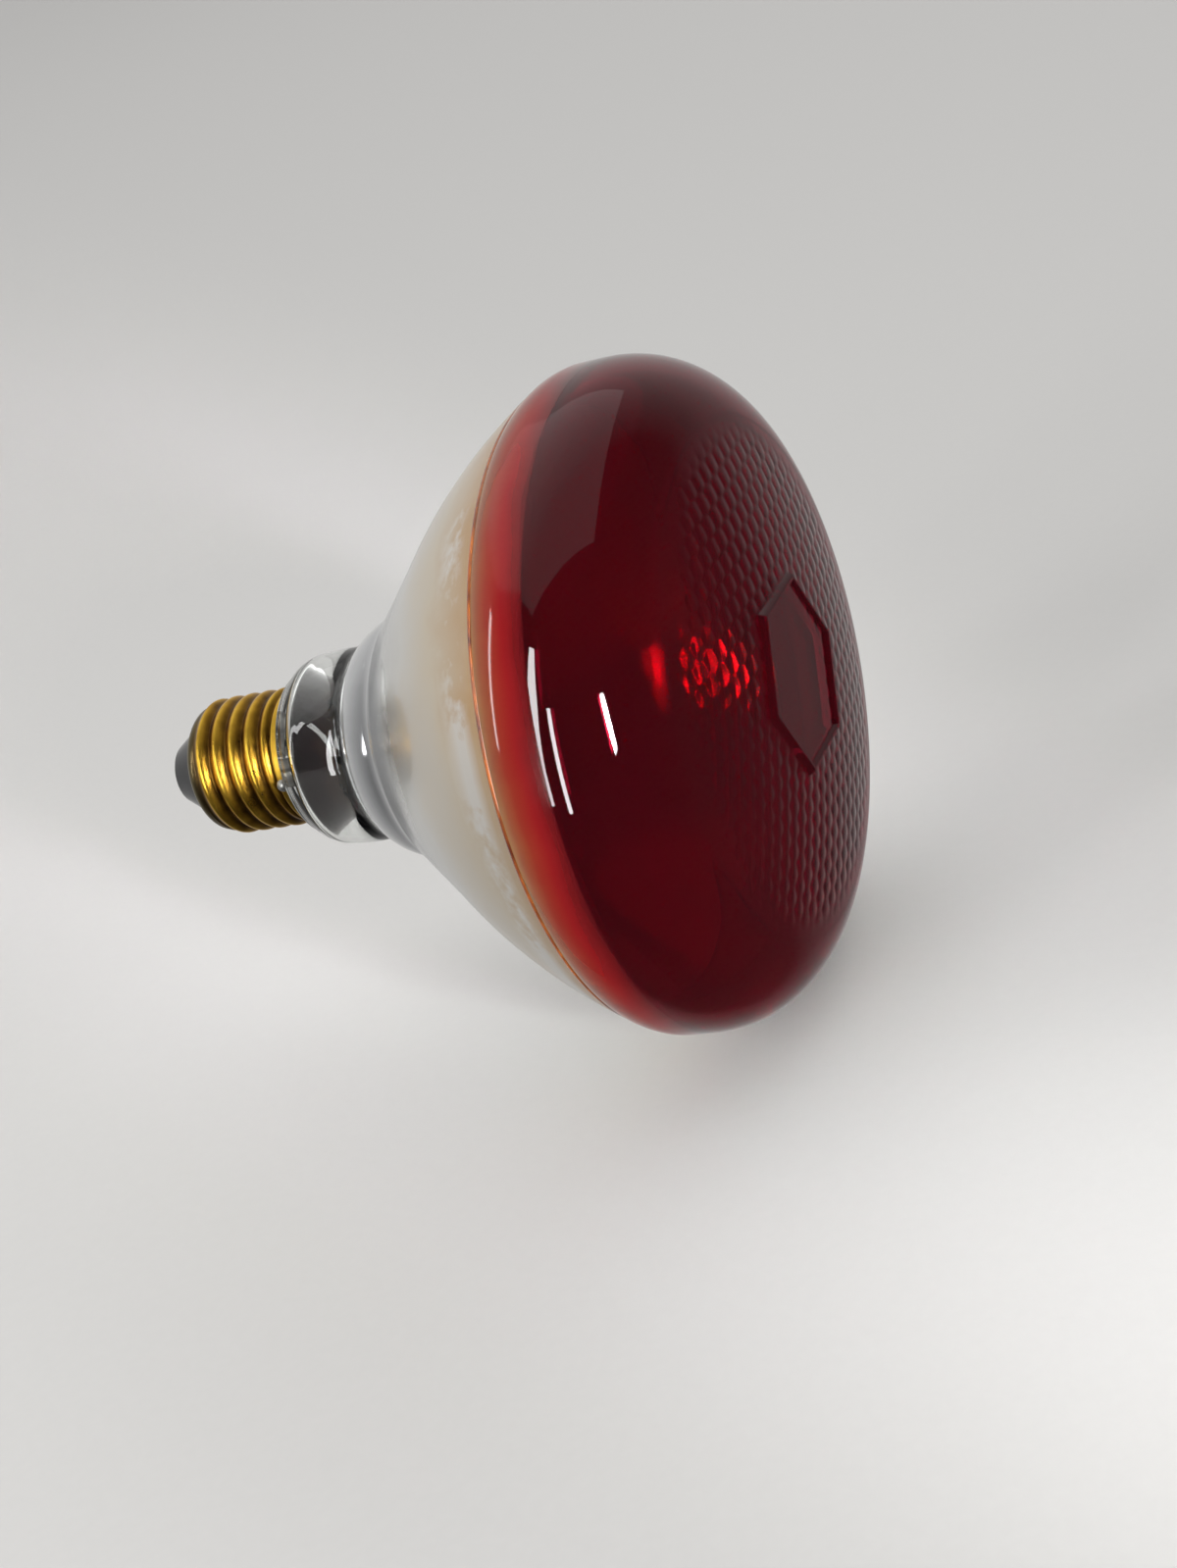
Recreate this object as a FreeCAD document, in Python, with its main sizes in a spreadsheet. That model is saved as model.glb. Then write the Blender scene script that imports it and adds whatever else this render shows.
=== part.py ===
import FreeCAD, Part
import math
import os

import Sketcher

# A sealed-beam infrared heat lamp with an Edison screw cap, in millimetres.
# The lamp's axis is +X. The origin is the middle of the flat end of the centre contact,
# so the cap points to -X and the lens faces +X. +Z is up.
# Every station along the axis is measured from that end of the contact.

DIMENSIONS = {
    # screw cap
    "contact_radius": 4.8,
    "contact_thickness": 0.6,
    "contact_edge_round": 0.4,
    "rivet_radius": 2.3,
    "rivet_bore": 1.6,
    "rivet_length": 4.0,
    "plug_length": 1.6,
    "insulator_nose_radius": 5.8,
    "insulator_flange_gap": 0.65,
    "insulator_flange_length": 3.4,
    "shell_end": 6.8,
    "shell_wall": 0.35,
    "shell_lip_width": 0.2,
    "shell_end_round": 2.2,
    "cap_mouth": 29.2,
    "thread_root_radius": 12.2,
    "thread_height": 0.95,
    "thread_pitch": 3.629,
    "thread_start_inset": 3.7,
    "thread_end_gap": 1.18,
    "thread_half_width": 1.3,
    "thread_sink": 0.15,
    "skirt_rise": 1.05,
    "skirt_length": 3.0,
    "skirt_flare": 0.8,
    "lead_hole_radius": 0.5,
    "lead_hole_inset": 1.4,
    "solder_spot_radius": 1.35,
    "solder_spot_sink": 0.5,
    "cement_length": 9.3,
    "cement_inset": 0.3,
    "cement_thickness": 0.95,
    "cement_sweep": 336.0,
    # glass reflector
    "boss_length": 10.6,
    "boss_clearance": 1.0,
    "neck_gap": 0.2,
    "base_thickness": 3.0,
    "glass_wall": 2.5,
    "neck_lip_setback": 3.25,
    "neck_lip_round": 0.9,
    "neck_shoulder_length": 6.0,
    "neck_shoulder_round": 7.0,
    "barrel_length": 7.6,
    "barrel_radius": 18.15,
    "barrel_round": 30.0,
    "waist_width": 2.2,
    "waist_rise": 0.5,
    "waist_round": 2.6,
    "collar_length": 7.2,
    "collar_rise": 4.85,
    "collar_round": 14.0,
    "step_width": 3.0,
    "step_rise": 2.3,
    "step_round": 4.2,
    "cone_length": 11.4,
    "bell_length": 26.5,
    "bell_round": 108.0,
    "inner_corner_round": 2.0,
    "foot_trim": 0.7,
    "seam_width": 2.85,
    "seal_thickness": 0.8,
    "seal_bulge": 0.3,
    "seal_round": 0.9,
    "coat_thickness": 0.15,
    "film_length": 8.5,
    "film_clearance": 1.75,
    "film_thickness": 0.12,
    # lens
    "rim_length": 6.4,
    "rim_radius": 60.5,
    "rim_overhang": 2.7,
    "rim_land": 4.2,
    "rim_round": 9.8,
    "lens_wall": 3.2,
    "shoulder_round": 18.5,
    "dome_round": 205.0,
    "pad_corner_radius": 18.0,
    "pad_height": 0.5,
    "pad_border": 2.0,
    "pad_recess": 0.7,
    # lead-in wires
    "lead_spacing": 10.8,
    "ferrule_radius": 2.0,
    "ferrule_wall": 0.3,
    "ferrule_floor": 0.5,
    "ferrule_length": 5.8,
    "ferrule_stand": 0.8,
    "stub_radius": 2.0,
    "stub_bore": 1.2,
    "stub_length": 7.4,
    "lead_radius": 0.35,
    "lead_bend": 0.9,
    "lead_turn_gap": 2.4,
    "live_bend": 3.0,
    "live_join_gap": 3.2,
    "fuse_radius": 1.1,
    "fuse_length": 4.4,
    "fuse_inset": 2.8,
    # filament mount
    "post_radius": 0.75,
    "post_bend": 2.4,
    "post_splay_length": 5.5,
    "post_end_length": 6.0,
    "focus_distance": 11.6,
    "filament_length": 20.0,
    "coil_radius": 0.9,
    "clamp_radius": 1.1,
    "clamp_length": 1.8,
    "bridge_stand": 19.1,
    "bridge_radius": 2.0,
    "bridge_overhang": 2.1,
    "hook_radius": 0.25,
    "hook_spacing": 5.0,
    "hook_straight": 4.0,
    "hook_depth": 1.6,
    "hook_eye_radius": 1.25,
}

SHEET = "sizes"

# The least volume in cubic millimetres that a feature must add or cut.
LEAST_CHANGE = 1e-6

# The modes of the features that are used here.
THROUGH_ALL = 1
PITCH_AND_HEIGHT = 0

FULL_TURN = 360


class Size:
    """A length together with the sheet expression that it comes from."""

    def __init__(self, value, text):
        self.value = value
        self.text = text

    @staticmethod
    def of(number):
        return number if isinstance(number, Size) else Size(float(number), repr(float(number)))

    def __add__(self, other):
        other = Size.of(other)
        return Size(self.value + other.value, f"({self.text} + {other.text})")

    def __sub__(self, other):
        other = Size.of(other)
        return Size(self.value - other.value, f"({self.text} - {other.text})")

    def __mul__(self, other):
        other = Size.of(other)
        return Size(self.value * other.value, f"({self.text} * {other.text})")

    def __truediv__(self, other):
        other = Size.of(other)
        return Size(self.value / other.value, f"({self.text} / {other.text})")

    def root(self):
        return Size(math.sqrt(self.value), f"sqrt({self.text})")


def make_sheet(doc):
    """The spreadsheet of driving dimensions, one named cell for each."""
    sheet = doc.addObject("Spreadsheet::Sheet", SHEET)
    sizes = {}
    for row, (name, value) in enumerate(DIMENSIONS.items(), start=1):
        sheet.set(f"A{row}", name)
        sheet.set(f"B{row}", str(value))
        sheet.setAlias(f"B{row}", name)
        sizes[name] = Size(value, f"{SHEET}.{name}")
    doc.recompute()
    return sizes


def lay_out(s):
    """Adds the places and radii that follow from the sheet's sizes, so that a piece moves
    with what it fits. They run along the lamp from the cap to the lens."""
    root_bore = s["thread_root_radius"] - s["shell_wall"]
    s["shell_lip_radius"] = s["thread_root_radius"] - s["shell_end_round"] - s["shell_lip_width"]
    s["thread_crest_radius"] = s["thread_root_radius"] + s["thread_height"]
    s["thread_start"] = s["shell_end"] + s["thread_start_inset"]
    s["skirt_start"] = s["cap_mouth"] - s["skirt_length"]
    s["skirt_radius"] = s["thread_root_radius"] + s["skirt_rise"]
    s["insulator_flange_radius"] = root_bore - s["insulator_flange_gap"]
    s["insulator_flange_end"] = s["shell_end"] + s["insulator_flange_length"]
    s["cement_end"] = s["cap_mouth"] - s["cement_inset"]
    s["cement_start"] = s["cement_end"] - s["cement_length"]
    s["neck_base"] = s["cap_mouth"] + s["neck_gap"]
    s["boss_start"] = s["neck_base"] - s["boss_length"]
    s["boss_radius"] = root_bore - s["cement_thickness"]
    s["boss_bore"] = s["lead_spacing"] / 2 + s["ferrule_radius"] + s["boss_clearance"]
    s["neck_lip_radius"] = s["barrel_radius"] - s["neck_lip_setback"]
    s["barrel_start"] = s["neck_base"] + s["neck_shoulder_length"]
    s["waist_start"] = s["barrel_start"] + s["barrel_length"]
    s["collar_start"] = s["waist_start"] + s["waist_width"]
    s["collar_end"] = s["collar_start"] + s["collar_length"]
    s["collar_radius"] = s["barrel_radius"] + s["collar_rise"]
    s["step_end"] = s["collar_end"] + s["step_width"]
    s["step_radius"] = s["collar_radius"] + s["step_rise"]
    s["bell_start"] = s["step_end"] + s["cone_length"]
    s["bell_radius"] = s["step_radius"] + s["cone_length"]
    s["seam_station"] = s["bell_start"] + s["bell_length"]
    s["seam_radius"] = s["rim_radius"] - s["rim_overhang"]
    s["lens_back"] = s["seam_station"] + s["seal_thickness"]
    s["rim_station"] = s["lens_back"] + s["rim_length"]
    s["ferrule_end"] = s["neck_base"] + s["base_thickness"] + s["ferrule_stand"]
    s["lead_lane_radius"] = (s["boss_radius"] + root_bore) / 2
    s["lead_turn_station"] = s["boss_start"] - s["lead_turn_gap"]
    s["live_join_station"] = s["insulator_flange_end"] + s["live_join_gap"]
    s["fuse_start"] = s["boss_start"] + s["fuse_inset"]
    s["filament_station"] = s["step_end"] + s["focus_distance"]
    s["post_splay_end"] = s["filament_station"] - s["post_end_length"]
    s["post_splay_start"] = s["post_splay_end"] - s["post_splay_length"]
    s["clamp_middle"] = (s["filament_length"] + s["clamp_length"]) / 2
    s["bridge_station"] = s["neck_base"] + s["bridge_stand"]
    s["bridge_length"] = s["lead_spacing"] + s["bridge_overhang"] * 2


def origin_feature(body, role):
    return next(item for item in body.Origin.OriginFeatures if item.Role == role)


def new_body(doc, label, station, across=None):
    """A body named for its piece, with its own datum on the lamp."""
    body = doc.addObject("PartDesign::Body", label)
    body.Label = label
    body.Placement.Base.x = station.value
    body.setExpression("Placement.Base.x", station.text)
    if across is not None:
        body.setExpression("Placement.Base.y", across.text)
    return body


def new_sketch(body, name, role="XY_Plane"):
    sketch = body.newObject("Sketcher::SketchObject", name)
    sketch.AttachmentSupport = [(origin_feature(body, role), "")]
    sketch.MapMode = "FlatFace"
    return sketch


def bind(sketch, kind, *target):
    """Adds one driving constraint whose last argument is a Size."""
    size = target[-1]
    index = sketch.addConstraint(Sketcher.Constraint(kind, *target[:-1], size.value))
    sketch.setExpression(f"Constraints[{index}]", size.text)


def pin_point(sketch, geometry, end, across, height):
    """Holds one end of a line or arc at (across, height) from the sketch's origin."""
    if across.value == 0:
        sketch.addConstraint(Sketcher.Constraint("PointOnObject", geometry, end, -2))
    else:
        bind(sketch, "DistanceX", -1, 1, geometry, end, across)
    if height.value == 0:
        sketch.addConstraint(Sketcher.Constraint("PointOnObject", geometry, end, -1))
    else:
        bind(sketch, "DistanceY", -1, 1, geometry, end, height)


def arc_between(start, finish, radius, turn):
    """The short arc from start to finish. turn is 1 to the left of the way, -1 to the right."""
    chord = finish - start
    middle = (start + finish) * 0.5
    reach = math.sqrt(max(radius ** 2 - chord.Length ** 2 / 4, 0.0))
    left = FreeCAD.Vector(-chord.y, chord.x, 0) * (1 / chord.Length)
    centre = middle + left * (reach * turn)
    first, last = (start, finish) if turn > 0 else (finish, start)
    angles = [math.atan2(point.y - centre.y, point.x - centre.x) for point in (first, last)]
    circle = Part.Circle(centre, FreeCAD.Vector(0, 0, 1), radius)
    return Part.ArcOfCircle(circle, angles[0], angles[1])


def draw_outline(sketch, steps, datum):
    """Draws a closed outline. A step is (x, r) for a straight run to that point,
    or (x, r, radius, turn) for an arc to it. x is measured on the lamp."""
    points = [(Size.of(step[0]) - datum, Size.of(step[1])) for step in steps]
    places = [FreeCAD.Vector(across.value, height.value, 0) for across, height in points]
    ends = []
    for index, step in enumerate(steps):
        start, finish = places[index - 1], places[index]
        if len(step) == 2:
            geometry = sketch.addGeometry(Part.LineSegment(start, finish), False)
            ends.append((geometry, 1, 2))
        else:
            radius, turn = Size.of(step[2]), step[3]
            geometry = sketch.addGeometry(arc_between(start, finish, radius.value, turn), False)
            ends.append((geometry, 1, 2) if turn > 0 else (geometry, 2, 1))
            bind(sketch, "Radius", geometry, radius)
    for index, (geometry, _, finish) in enumerate(ends):
        following, begin, _ = ends[(index + 1) % len(ends)]
        sketch.addConstraint(Sketcher.Constraint("Coincident", geometry, finish, following, begin))
        pin_point(sketch, geometry, finish, *points[index])


def turned(doc, label, steps, datum, across=None, sweep=None):
    """A body turned about the line through its datum along X."""
    body = new_body(doc, label, datum, across)
    sketch = new_sketch(body, label + "_outline")
    draw_outline(sketch, steps, datum)
    turning = body.newObject("PartDesign::Revolution", label + "_turned")
    turning.Profile = sketch
    turning.ReferenceAxis = (origin_feature(body, "X_Axis"), [""])
    turning.Angle = FULL_TURN
    if sweep is not None:
        turning.setExpression("Angle", sweep.text)
    doc.recompute()
    return body


def draw_route(sketch, corners, bends):
    """Draws an open route of straight runs. Each inner corner is rounded with its bend."""
    places = [FreeCAD.Vector(across.value, height.value, 0) for across, height in corners]
    starts, finishes = [places[0]], []
    for index, bend in enumerate(bends, start=1):
        before = (places[index - 1] - places[index]).normalize()
        after = (places[index + 1] - places[index]).normalize()
        half = before.getAngle(after) / 2
        setback = bend.value / math.tan(half)
        finishes.append(places[index] + before * setback)
        starts.append(places[index] + after * setback)
    finishes.append(places[-1])
    runs = [sketch.addGeometry(Part.LineSegment(start, finish), False)
            for start, finish in zip(starts, finishes)]
    pin_point(sketch, runs[0], 1, *corners[0])
    pin_point(sketch, runs[-1], 2, *corners[-1])
    for index, bend in enumerate(bends):
        way = finishes[index] - starts[index]
        onward = finishes[index + 1] - starts[index + 1]
        turn = 1 if way.x * onward.y - way.y * onward.x > 0 else -1
        arc = arc_between(finishes[index], starts[index + 1], bend.value, turn)
        rounded = sketch.addGeometry(arc, False)
        near, far = (1, 2) if turn > 0 else (2, 1)
        sketch.addConstraint(Sketcher.Constraint("Tangent", runs[index], 2, rounded, near))
        sketch.addConstraint(Sketcher.Constraint("Tangent", rounded, far, runs[index + 1], 1))
        bind(sketch, "Radius", rounded, bend)
        corner = sketch.addGeometry(Part.Point(places[index + 1]), True)
        sketch.addConstraint(Sketcher.Constraint("PointOnObject", corner, 1, runs[index]))
        sketch.addConstraint(Sketcher.Constraint("PointOnObject", corner, 1, runs[index + 1]))
        pin_point(sketch, corner, 1, *corners[index + 1])


def wire(doc, label, corners, bends, radius):
    """A round wire that starts along X. Its corners are (x, y) on the lamp's XY plane."""
    datum = corners[0][0]
    body = new_body(doc, label, datum, corners[0][1])
    local = [(across - datum, height - corners[0][1]) for across, height in corners]
    route = new_sketch(body, label + "_route")
    draw_route(route, local, bends)
    section = new_sketch(body, label + "_section", "YZ_Plane")
    draw_ring(section, Size.of(0), radius)
    pipe = body.newObject("PartDesign::AdditivePipe", label + "_drawn")
    pipe.Profile = section
    pipe.Spine = route
    pipe.Transition = "Right corner"
    doc.recompute()
    return body


def draw_ring(sketch, across, radius):
    """A circle with its centre at (across, 0)."""
    centre = FreeCAD.Vector(across.value, 0, 0)
    ring = sketch.addGeometry(Part.Circle(centre, FreeCAD.Vector(0, 0, 1), radius.value), False)
    pin_point(sketch, ring, 3, across, Size.of(0))
    bind(sketch, "Radius", ring, radius)


def cross_sketch(body, name, station, rings=(), hexagon=None):
    """A sketch square to the axis at a station from the body's datum."""
    sketch = new_sketch(body, name, "YZ_Plane")
    sketch.AttachmentOffset.Base.z = station.value
    sketch.setExpression("AttachmentOffset.Base.z", station.text)
    for across, radius in rings:
        draw_ring(sketch, across, radius)
    if hexagon is not None:
        draw_hexagon(sketch, hexagon)
    return sketch


def draw_hexagon(sketch, corner_radius):
    """A regular hexagon about the axis, with one corner on the sketch's first axis."""
    reach = corner_radius.value
    corners = [FreeCAD.Vector(reach * math.cos(k * math.pi / 3), reach * math.sin(k * math.pi / 3), 0)
               for k in range(6)]
    guide = sketch.addGeometry(Part.Circle(FreeCAD.Vector(0, 0, 0), FreeCAD.Vector(0, 0, 1), reach), True)
    sketch.addConstraint(Sketcher.Constraint("Coincident", guide, 3, -1, 1))
    bind(sketch, "Radius", guide, corner_radius)
    sides = [sketch.addGeometry(Part.LineSegment(corners[k], corners[(k + 1) % 6]), False)
             for k in range(6)]
    for k, side in enumerate(sides):
        sketch.addConstraint(Sketcher.Constraint("Coincident", side, 2, sides[(k + 1) % 6], 1))
        sketch.addConstraint(Sketcher.Constraint("PointOnObject", side, 1, guide))
        if k > 0:
            sketch.addConstraint(Sketcher.Constraint("Equal", sides[0], side))
    sketch.addConstraint(Sketcher.Constraint("PointOnObject", sides[0], 1, -1))


def shape_with(doc, body, kind, name, profile, depth=None, **settings):
    """Adds a pad, a pocket or a helix of a sketch to a body, to a depth if one is given,
    and stops if the body is no different for it."""
    before = 0 if body.Shape.isNull() else body.Shape.Volume
    feature = body.newObject("PartDesign::" + kind, name)
    feature.Profile = profile
    for setting, value in settings.items():
        setattr(feature, setting, value)
    if depth is not None:
        feature.setExpression("Length", depth.text)
    doc.recompute()
    if abs(body.Shape.Volume - before) < LEAST_CHANGE:
        raise RuntimeError(f"{name} changed nothing")
    return feature


# ---------------------------------------------------------------- screw cap

def centre_contact(doc, s):
    """Brass end contact: a flat disc with a hollow rivet that goes into the insulator."""
    edge = s["contact_edge_round"]
    turned(doc, "centre_contact", [
        (0, s["rivet_bore"]),
        (0, s["contact_radius"] - edge),
        (edge, s["contact_radius"], edge, -1),
        (s["contact_thickness"], s["contact_radius"]),
        (s["contact_thickness"], s["rivet_radius"]),
        (s["rivet_length"], s["rivet_radius"]),
        (s["rivet_length"], s["rivet_bore"]),
    ], Size.of(0))


def contact_solder(doc, s):
    """Solder that fills the rivet's mouth flush with the contact and holds the live lead."""
    lead_end = s["plug_length"] / 2
    turned(doc, "contact_solder", [
        (0, 0),
        (0, s["rivet_bore"]),
        (s["plug_length"], s["rivet_bore"]),
        (s["plug_length"], s["lead_radius"]),
        (lead_end, s["lead_radius"]),
        (lead_end, 0),
    ], Size.of(0))


def cap_insulator(doc, s):
    """Black glass cone between the contact and the shell, with a flange inside the shell."""
    lip_inside = s["shell_end"] + s["shell_wall"]
    corner = s["thread_root_radius"] - s["shell_end_round"]
    flange_rise = s["insulator_flange_radius"] - corner
    turned(doc, "cap_insulator", [
        (s["contact_thickness"], s["rivet_radius"]),
        (s["contact_thickness"], s["insulator_nose_radius"]),
        (s["shell_end"], s["shell_lip_radius"]),
        (lip_inside, s["shell_lip_radius"]),
        (lip_inside, corner),
        (lip_inside + flange_rise, s["insulator_flange_radius"]),
        (s["insulator_flange_end"], s["insulator_flange_radius"]),
        (s["insulator_flange_end"], s["rivet_bore"]),
        (s["rivet_length"], s["rivet_bore"]),
        (s["rivet_length"], s["rivet_radius"]),
    ], s["contact_thickness"])


def screw_shell(doc, s):
    """Rolled brass shell: a curled end, a round right-hand thread and a plain skirt."""
    wall = s["shell_wall"]
    bend = s["shell_end_round"]
    root = s["thread_root_radius"]
    end = s["shell_end"]
    skirt = s["skirt_start"] + s["skirt_flare"]
    mouth = s["cap_mouth"]
    body = turned(doc, "screw_shell", [
        (end, s["shell_lip_radius"]),
        (end, root - bend),
        (end + bend, root, bend, -1),
        (s["skirt_start"], root),
        (skirt, s["skirt_radius"]),
        (mouth, s["skirt_radius"]),
        (mouth, s["skirt_radius"] - wall),
        (skirt + wall, s["skirt_radius"] - wall),
        (s["skirt_start"] + wall, root - wall),
        (end + bend, root - wall),
        (end + wall, root - bend, bend - wall, 1),
        (end + wall, s["shell_lip_radius"]),
    ], end)
    rib = new_sketch(body, "thread_section")
    base = root - s["thread_sink"]
    rise = s["thread_crest_radius"] - base
    half = s["thread_half_width"]
    crown = (half * half + rise * rise) / (rise * 2)
    draw_outline(rib, [
        (s["thread_start"] - half, base),
        (s["thread_start"] + half, base, crown, -1),
    ], end)
    thread_length = s["skirt_start"] - s["thread_end_gap"] - s["thread_start"]
    thread = shape_with(doc, body, "AdditiveHelix", "rolled_thread", rib,
                        ReferenceAxis=(origin_feature(body, "X_Axis"), [""]),
                        Mode=PITCH_AND_HEIGHT,
                        Pitch=s["thread_pitch"].value, Height=thread_length.value)
    thread.setExpression("Pitch", s["thread_pitch"].text)
    thread.setExpression("Height", thread_length.text)
    hole = new_sketch(body, "lead_hole_outline", "XZ_Plane")
    draw_ring(hole, mouth - s["lead_hole_inset"] - end, s["lead_hole_radius"])
    shape_with(doc, body, "Pocket", "lead_hole", hole, Type=THROUGH_ALL, Reversed=True)


def side_solder(doc, s):
    """Solder spot on the skirt, over the hole that the neutral lead comes out of."""
    station = s["cap_mouth"] - s["lead_hole_inset"]
    spot = doc.addObject("Part::Sphere", "solder_ball")
    spot.setExpression("Radius", s["solder_spot_radius"].text)
    spot.setExpression("Placement.Base.x", station.text)
    spot.setExpression("Placement.Base.y", (s["solder_spot_sink"] - s["skirt_radius"]).text)
    skirt = doc.addObject("Part::Cylinder", "skirt_space")
    skirt.setExpression("Radius", s["skirt_radius"].text)
    skirt.setExpression("Height", s["cap_mouth"].text)
    skirt.Placement.Rotation = FreeCAD.Rotation(FreeCAD.Vector(0, 1, 0), 90)
    blob = doc.addObject("Part::Cut", "side_solder")
    blob.Label = "side_solder"
    blob.Base = spot
    blob.Tool = skirt
    doc.recompute()


def basing_cement(doc, s):
    """Cement ring that holds the shell on the glass boss. A gap lets the neutral lead past."""
    wall = s["shell_wall"]
    skirt = s["skirt_start"] + s["skirt_flare"]
    body = turned(doc, "basing_cement", [
        (s["cement_start"], s["boss_radius"]),
        (s["cement_start"], s["thread_root_radius"] - wall),
        (s["skirt_start"] + wall, s["thread_root_radius"] - wall),
        (skirt + wall, s["skirt_radius"] - wall),
        (s["cement_end"], s["skirt_radius"] - wall),
        (s["cement_end"], s["boss_radius"]),
    ], s["cement_start"], sweep=s["cement_sweep"])
    gap = Size.of(FULL_TURN) - s["cement_sweep"]
    body.Placement.Rotation = FreeCAD.Rotation(FreeCAD.Vector(1, 0, 0), FULL_TURN / 2 + gap.value / 2)
    body.setExpression("Placement.Rotation.Angle", (Size.of(FULL_TURN / 2) + gap / 2).text)
    doc.recompute()


# ---------------------------------------------------------------- glass

def inner_bell(s):
    """Where the inside of the bell runs: its straight foot, its bend and its mouth.
    The straight stretch leans at 45 degrees, so its wall goes equally along and across."""
    across = s["glass_wall"] * math.sqrt(0.5)
    foot = (s["step_end"] + across * s["foot_trim"], s["step_radius"] - across)
    bend = (s["bell_start"] + across, s["bell_radius"] - across)
    mouth = (s["seam_station"], s["seam_radius"] - s["seam_width"])
    return foot, bend, mouth


def reflector_glass(doc, s):
    """Pressed clear glass: boss, closed base, neck barrel, waist, collar and bell."""
    foot, bend, mouth = inner_bell(s)
    wall = s["glass_wall"]
    base = s["neck_base"] + s["base_thickness"]
    barrel_bore = s["barrel_radius"] - wall
    corner = s["inner_corner_round"]
    lip = s["neck_lip_round"]
    body = turned(doc, "reflector_glass", [
        (s["neck_base"], 0),
        (s["neck_base"], s["boss_bore"]),
        (s["boss_start"], s["boss_bore"]),
        (s["boss_start"], s["boss_radius"]),
        (s["neck_base"], s["boss_radius"]),
        (s["neck_base"], s["neck_lip_radius"]),
        (s["neck_base"] + lip, s["neck_lip_radius"] + lip, lip, -1),
        (s["barrel_start"], s["barrel_radius"], s["neck_shoulder_round"], -1),
        (s["waist_start"], s["barrel_radius"], s["barrel_round"], -1),
        (s["collar_start"], s["barrel_radius"] + s["waist_rise"], s["waist_round"], 1),
        (s["collar_end"], s["collar_radius"], s["collar_round"], -1),
        (s["step_end"], s["step_radius"], s["step_round"], 1),
        (s["bell_start"], s["bell_radius"]),
        (s["seam_station"], s["seam_radius"], s["bell_round"], -1),
        mouth,
        (*bend, s["bell_round"] - wall, 1),
        foot,
        (s["collar_end"], s["collar_radius"] - wall, s["step_round"] + wall, -1),
        (s["collar_start"], barrel_bore + s["waist_rise"], s["collar_round"] - wall, 1),
        (s["waist_start"], barrel_bore),
        (base + corner, barrel_bore),
        (base, barrel_bore - corner, corner, 1),
        (base, 0),
    ], s["boss_start"])
    half_spacing = s["lead_spacing"] / 2
    holes = cross_sketch(body, "base_holes_outline", s["neck_base"] - s["boss_start"], [
        (half_spacing, s["ferrule_radius"]),
        (half_spacing * -1, s["ferrule_radius"]),
        (Size.of(0), s["stub_bore"]),
    ])
    shape_with(doc, body, "Pocket", "base_holes", holes, Type=THROUGH_ALL, Midplane=True)


def mirror_coat(doc, s):
    """Aluminium film on the inside of the bell and the collar."""
    foot, bend, mouth = inner_bell(s)
    wall = s["glass_wall"]
    film = s["coat_thickness"]
    collar_start = s["collar_start"]
    collar_bore = s["collar_radius"] - wall
    start_bore = s["barrel_radius"] - wall + s["waist_rise"]
    round_bell = s["bell_round"] - wall
    round_step = s["step_round"] + wall
    round_collar = s["collar_round"] - wall
    turned(doc, "mirror_coat", [
        (collar_start, start_bore),
        (s["collar_end"], collar_bore, round_collar, -1),
        (*foot, round_step, 1),
        bend,
        (*mouth, round_bell, -1),
        (mouth[0], mouth[1] - film),
        (bend[0], bend[1] - film, round_bell, 1),
        (foot[0], foot[1] - film),
        (s["collar_end"], collar_bore - film, round_step, -1),
        (collar_start, start_bore - film, round_collar, 1),
    ], collar_start)


def neck_film(doc, s):
    """Dark film that the filament has left on the inside of the neck, round its corner and on
    the outer part of its base."""
    base = s["neck_base"] + s["base_thickness"]
    corner = s["inner_corner_round"]
    bore = s["barrel_radius"] - s["glass_wall"]
    film = s["film_thickness"]
    finish = base + corner + s["film_length"]
    edge = s["lead_spacing"] / 2 + s["ferrule_radius"] + s["film_clearance"]
    turned(doc, "neck_film", [
        (base, edge),
        (base, bore - corner),
        (base + corner, bore, corner, -1),
        (finish, bore),
        (finish, bore - film),
        (base + corner, bore - film),
        (base + film, bore - corner, corner - film, 1),
        (base + film, edge),
    ], base)


def rim_seal(doc, s):
    """Sealing bead between the bell's edge and the lens."""
    front = s["lens_back"]
    turned(doc, "rim_seal", [
        (s["seam_station"], s["seam_radius"] - s["seam_width"]),
        (s["seam_station"], s["seam_radius"]),
        (front, s["seam_radius"] + s["seal_bulge"], s["seal_round"], -1),
        (front, s["seam_radius"] - s["seam_width"]),
    ], s["seam_station"])


def dome_layout(s):
    """The dome's arc runs on smoothly from the shoulder's. Returns the station and radius of
    the shoulder's centre, and its distance and its run along X from the dome's centre."""
    land_end = s["rim_station"] + s["rim_land"]
    shoulder_axis = s["rim_radius"] - s["shoulder_round"]
    spread = s["dome_round"] - s["shoulder_round"]
    run = (spread * spread - shoulder_axis * shoulder_axis).root()
    return land_end, shoulder_axis, spread, run


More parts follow.
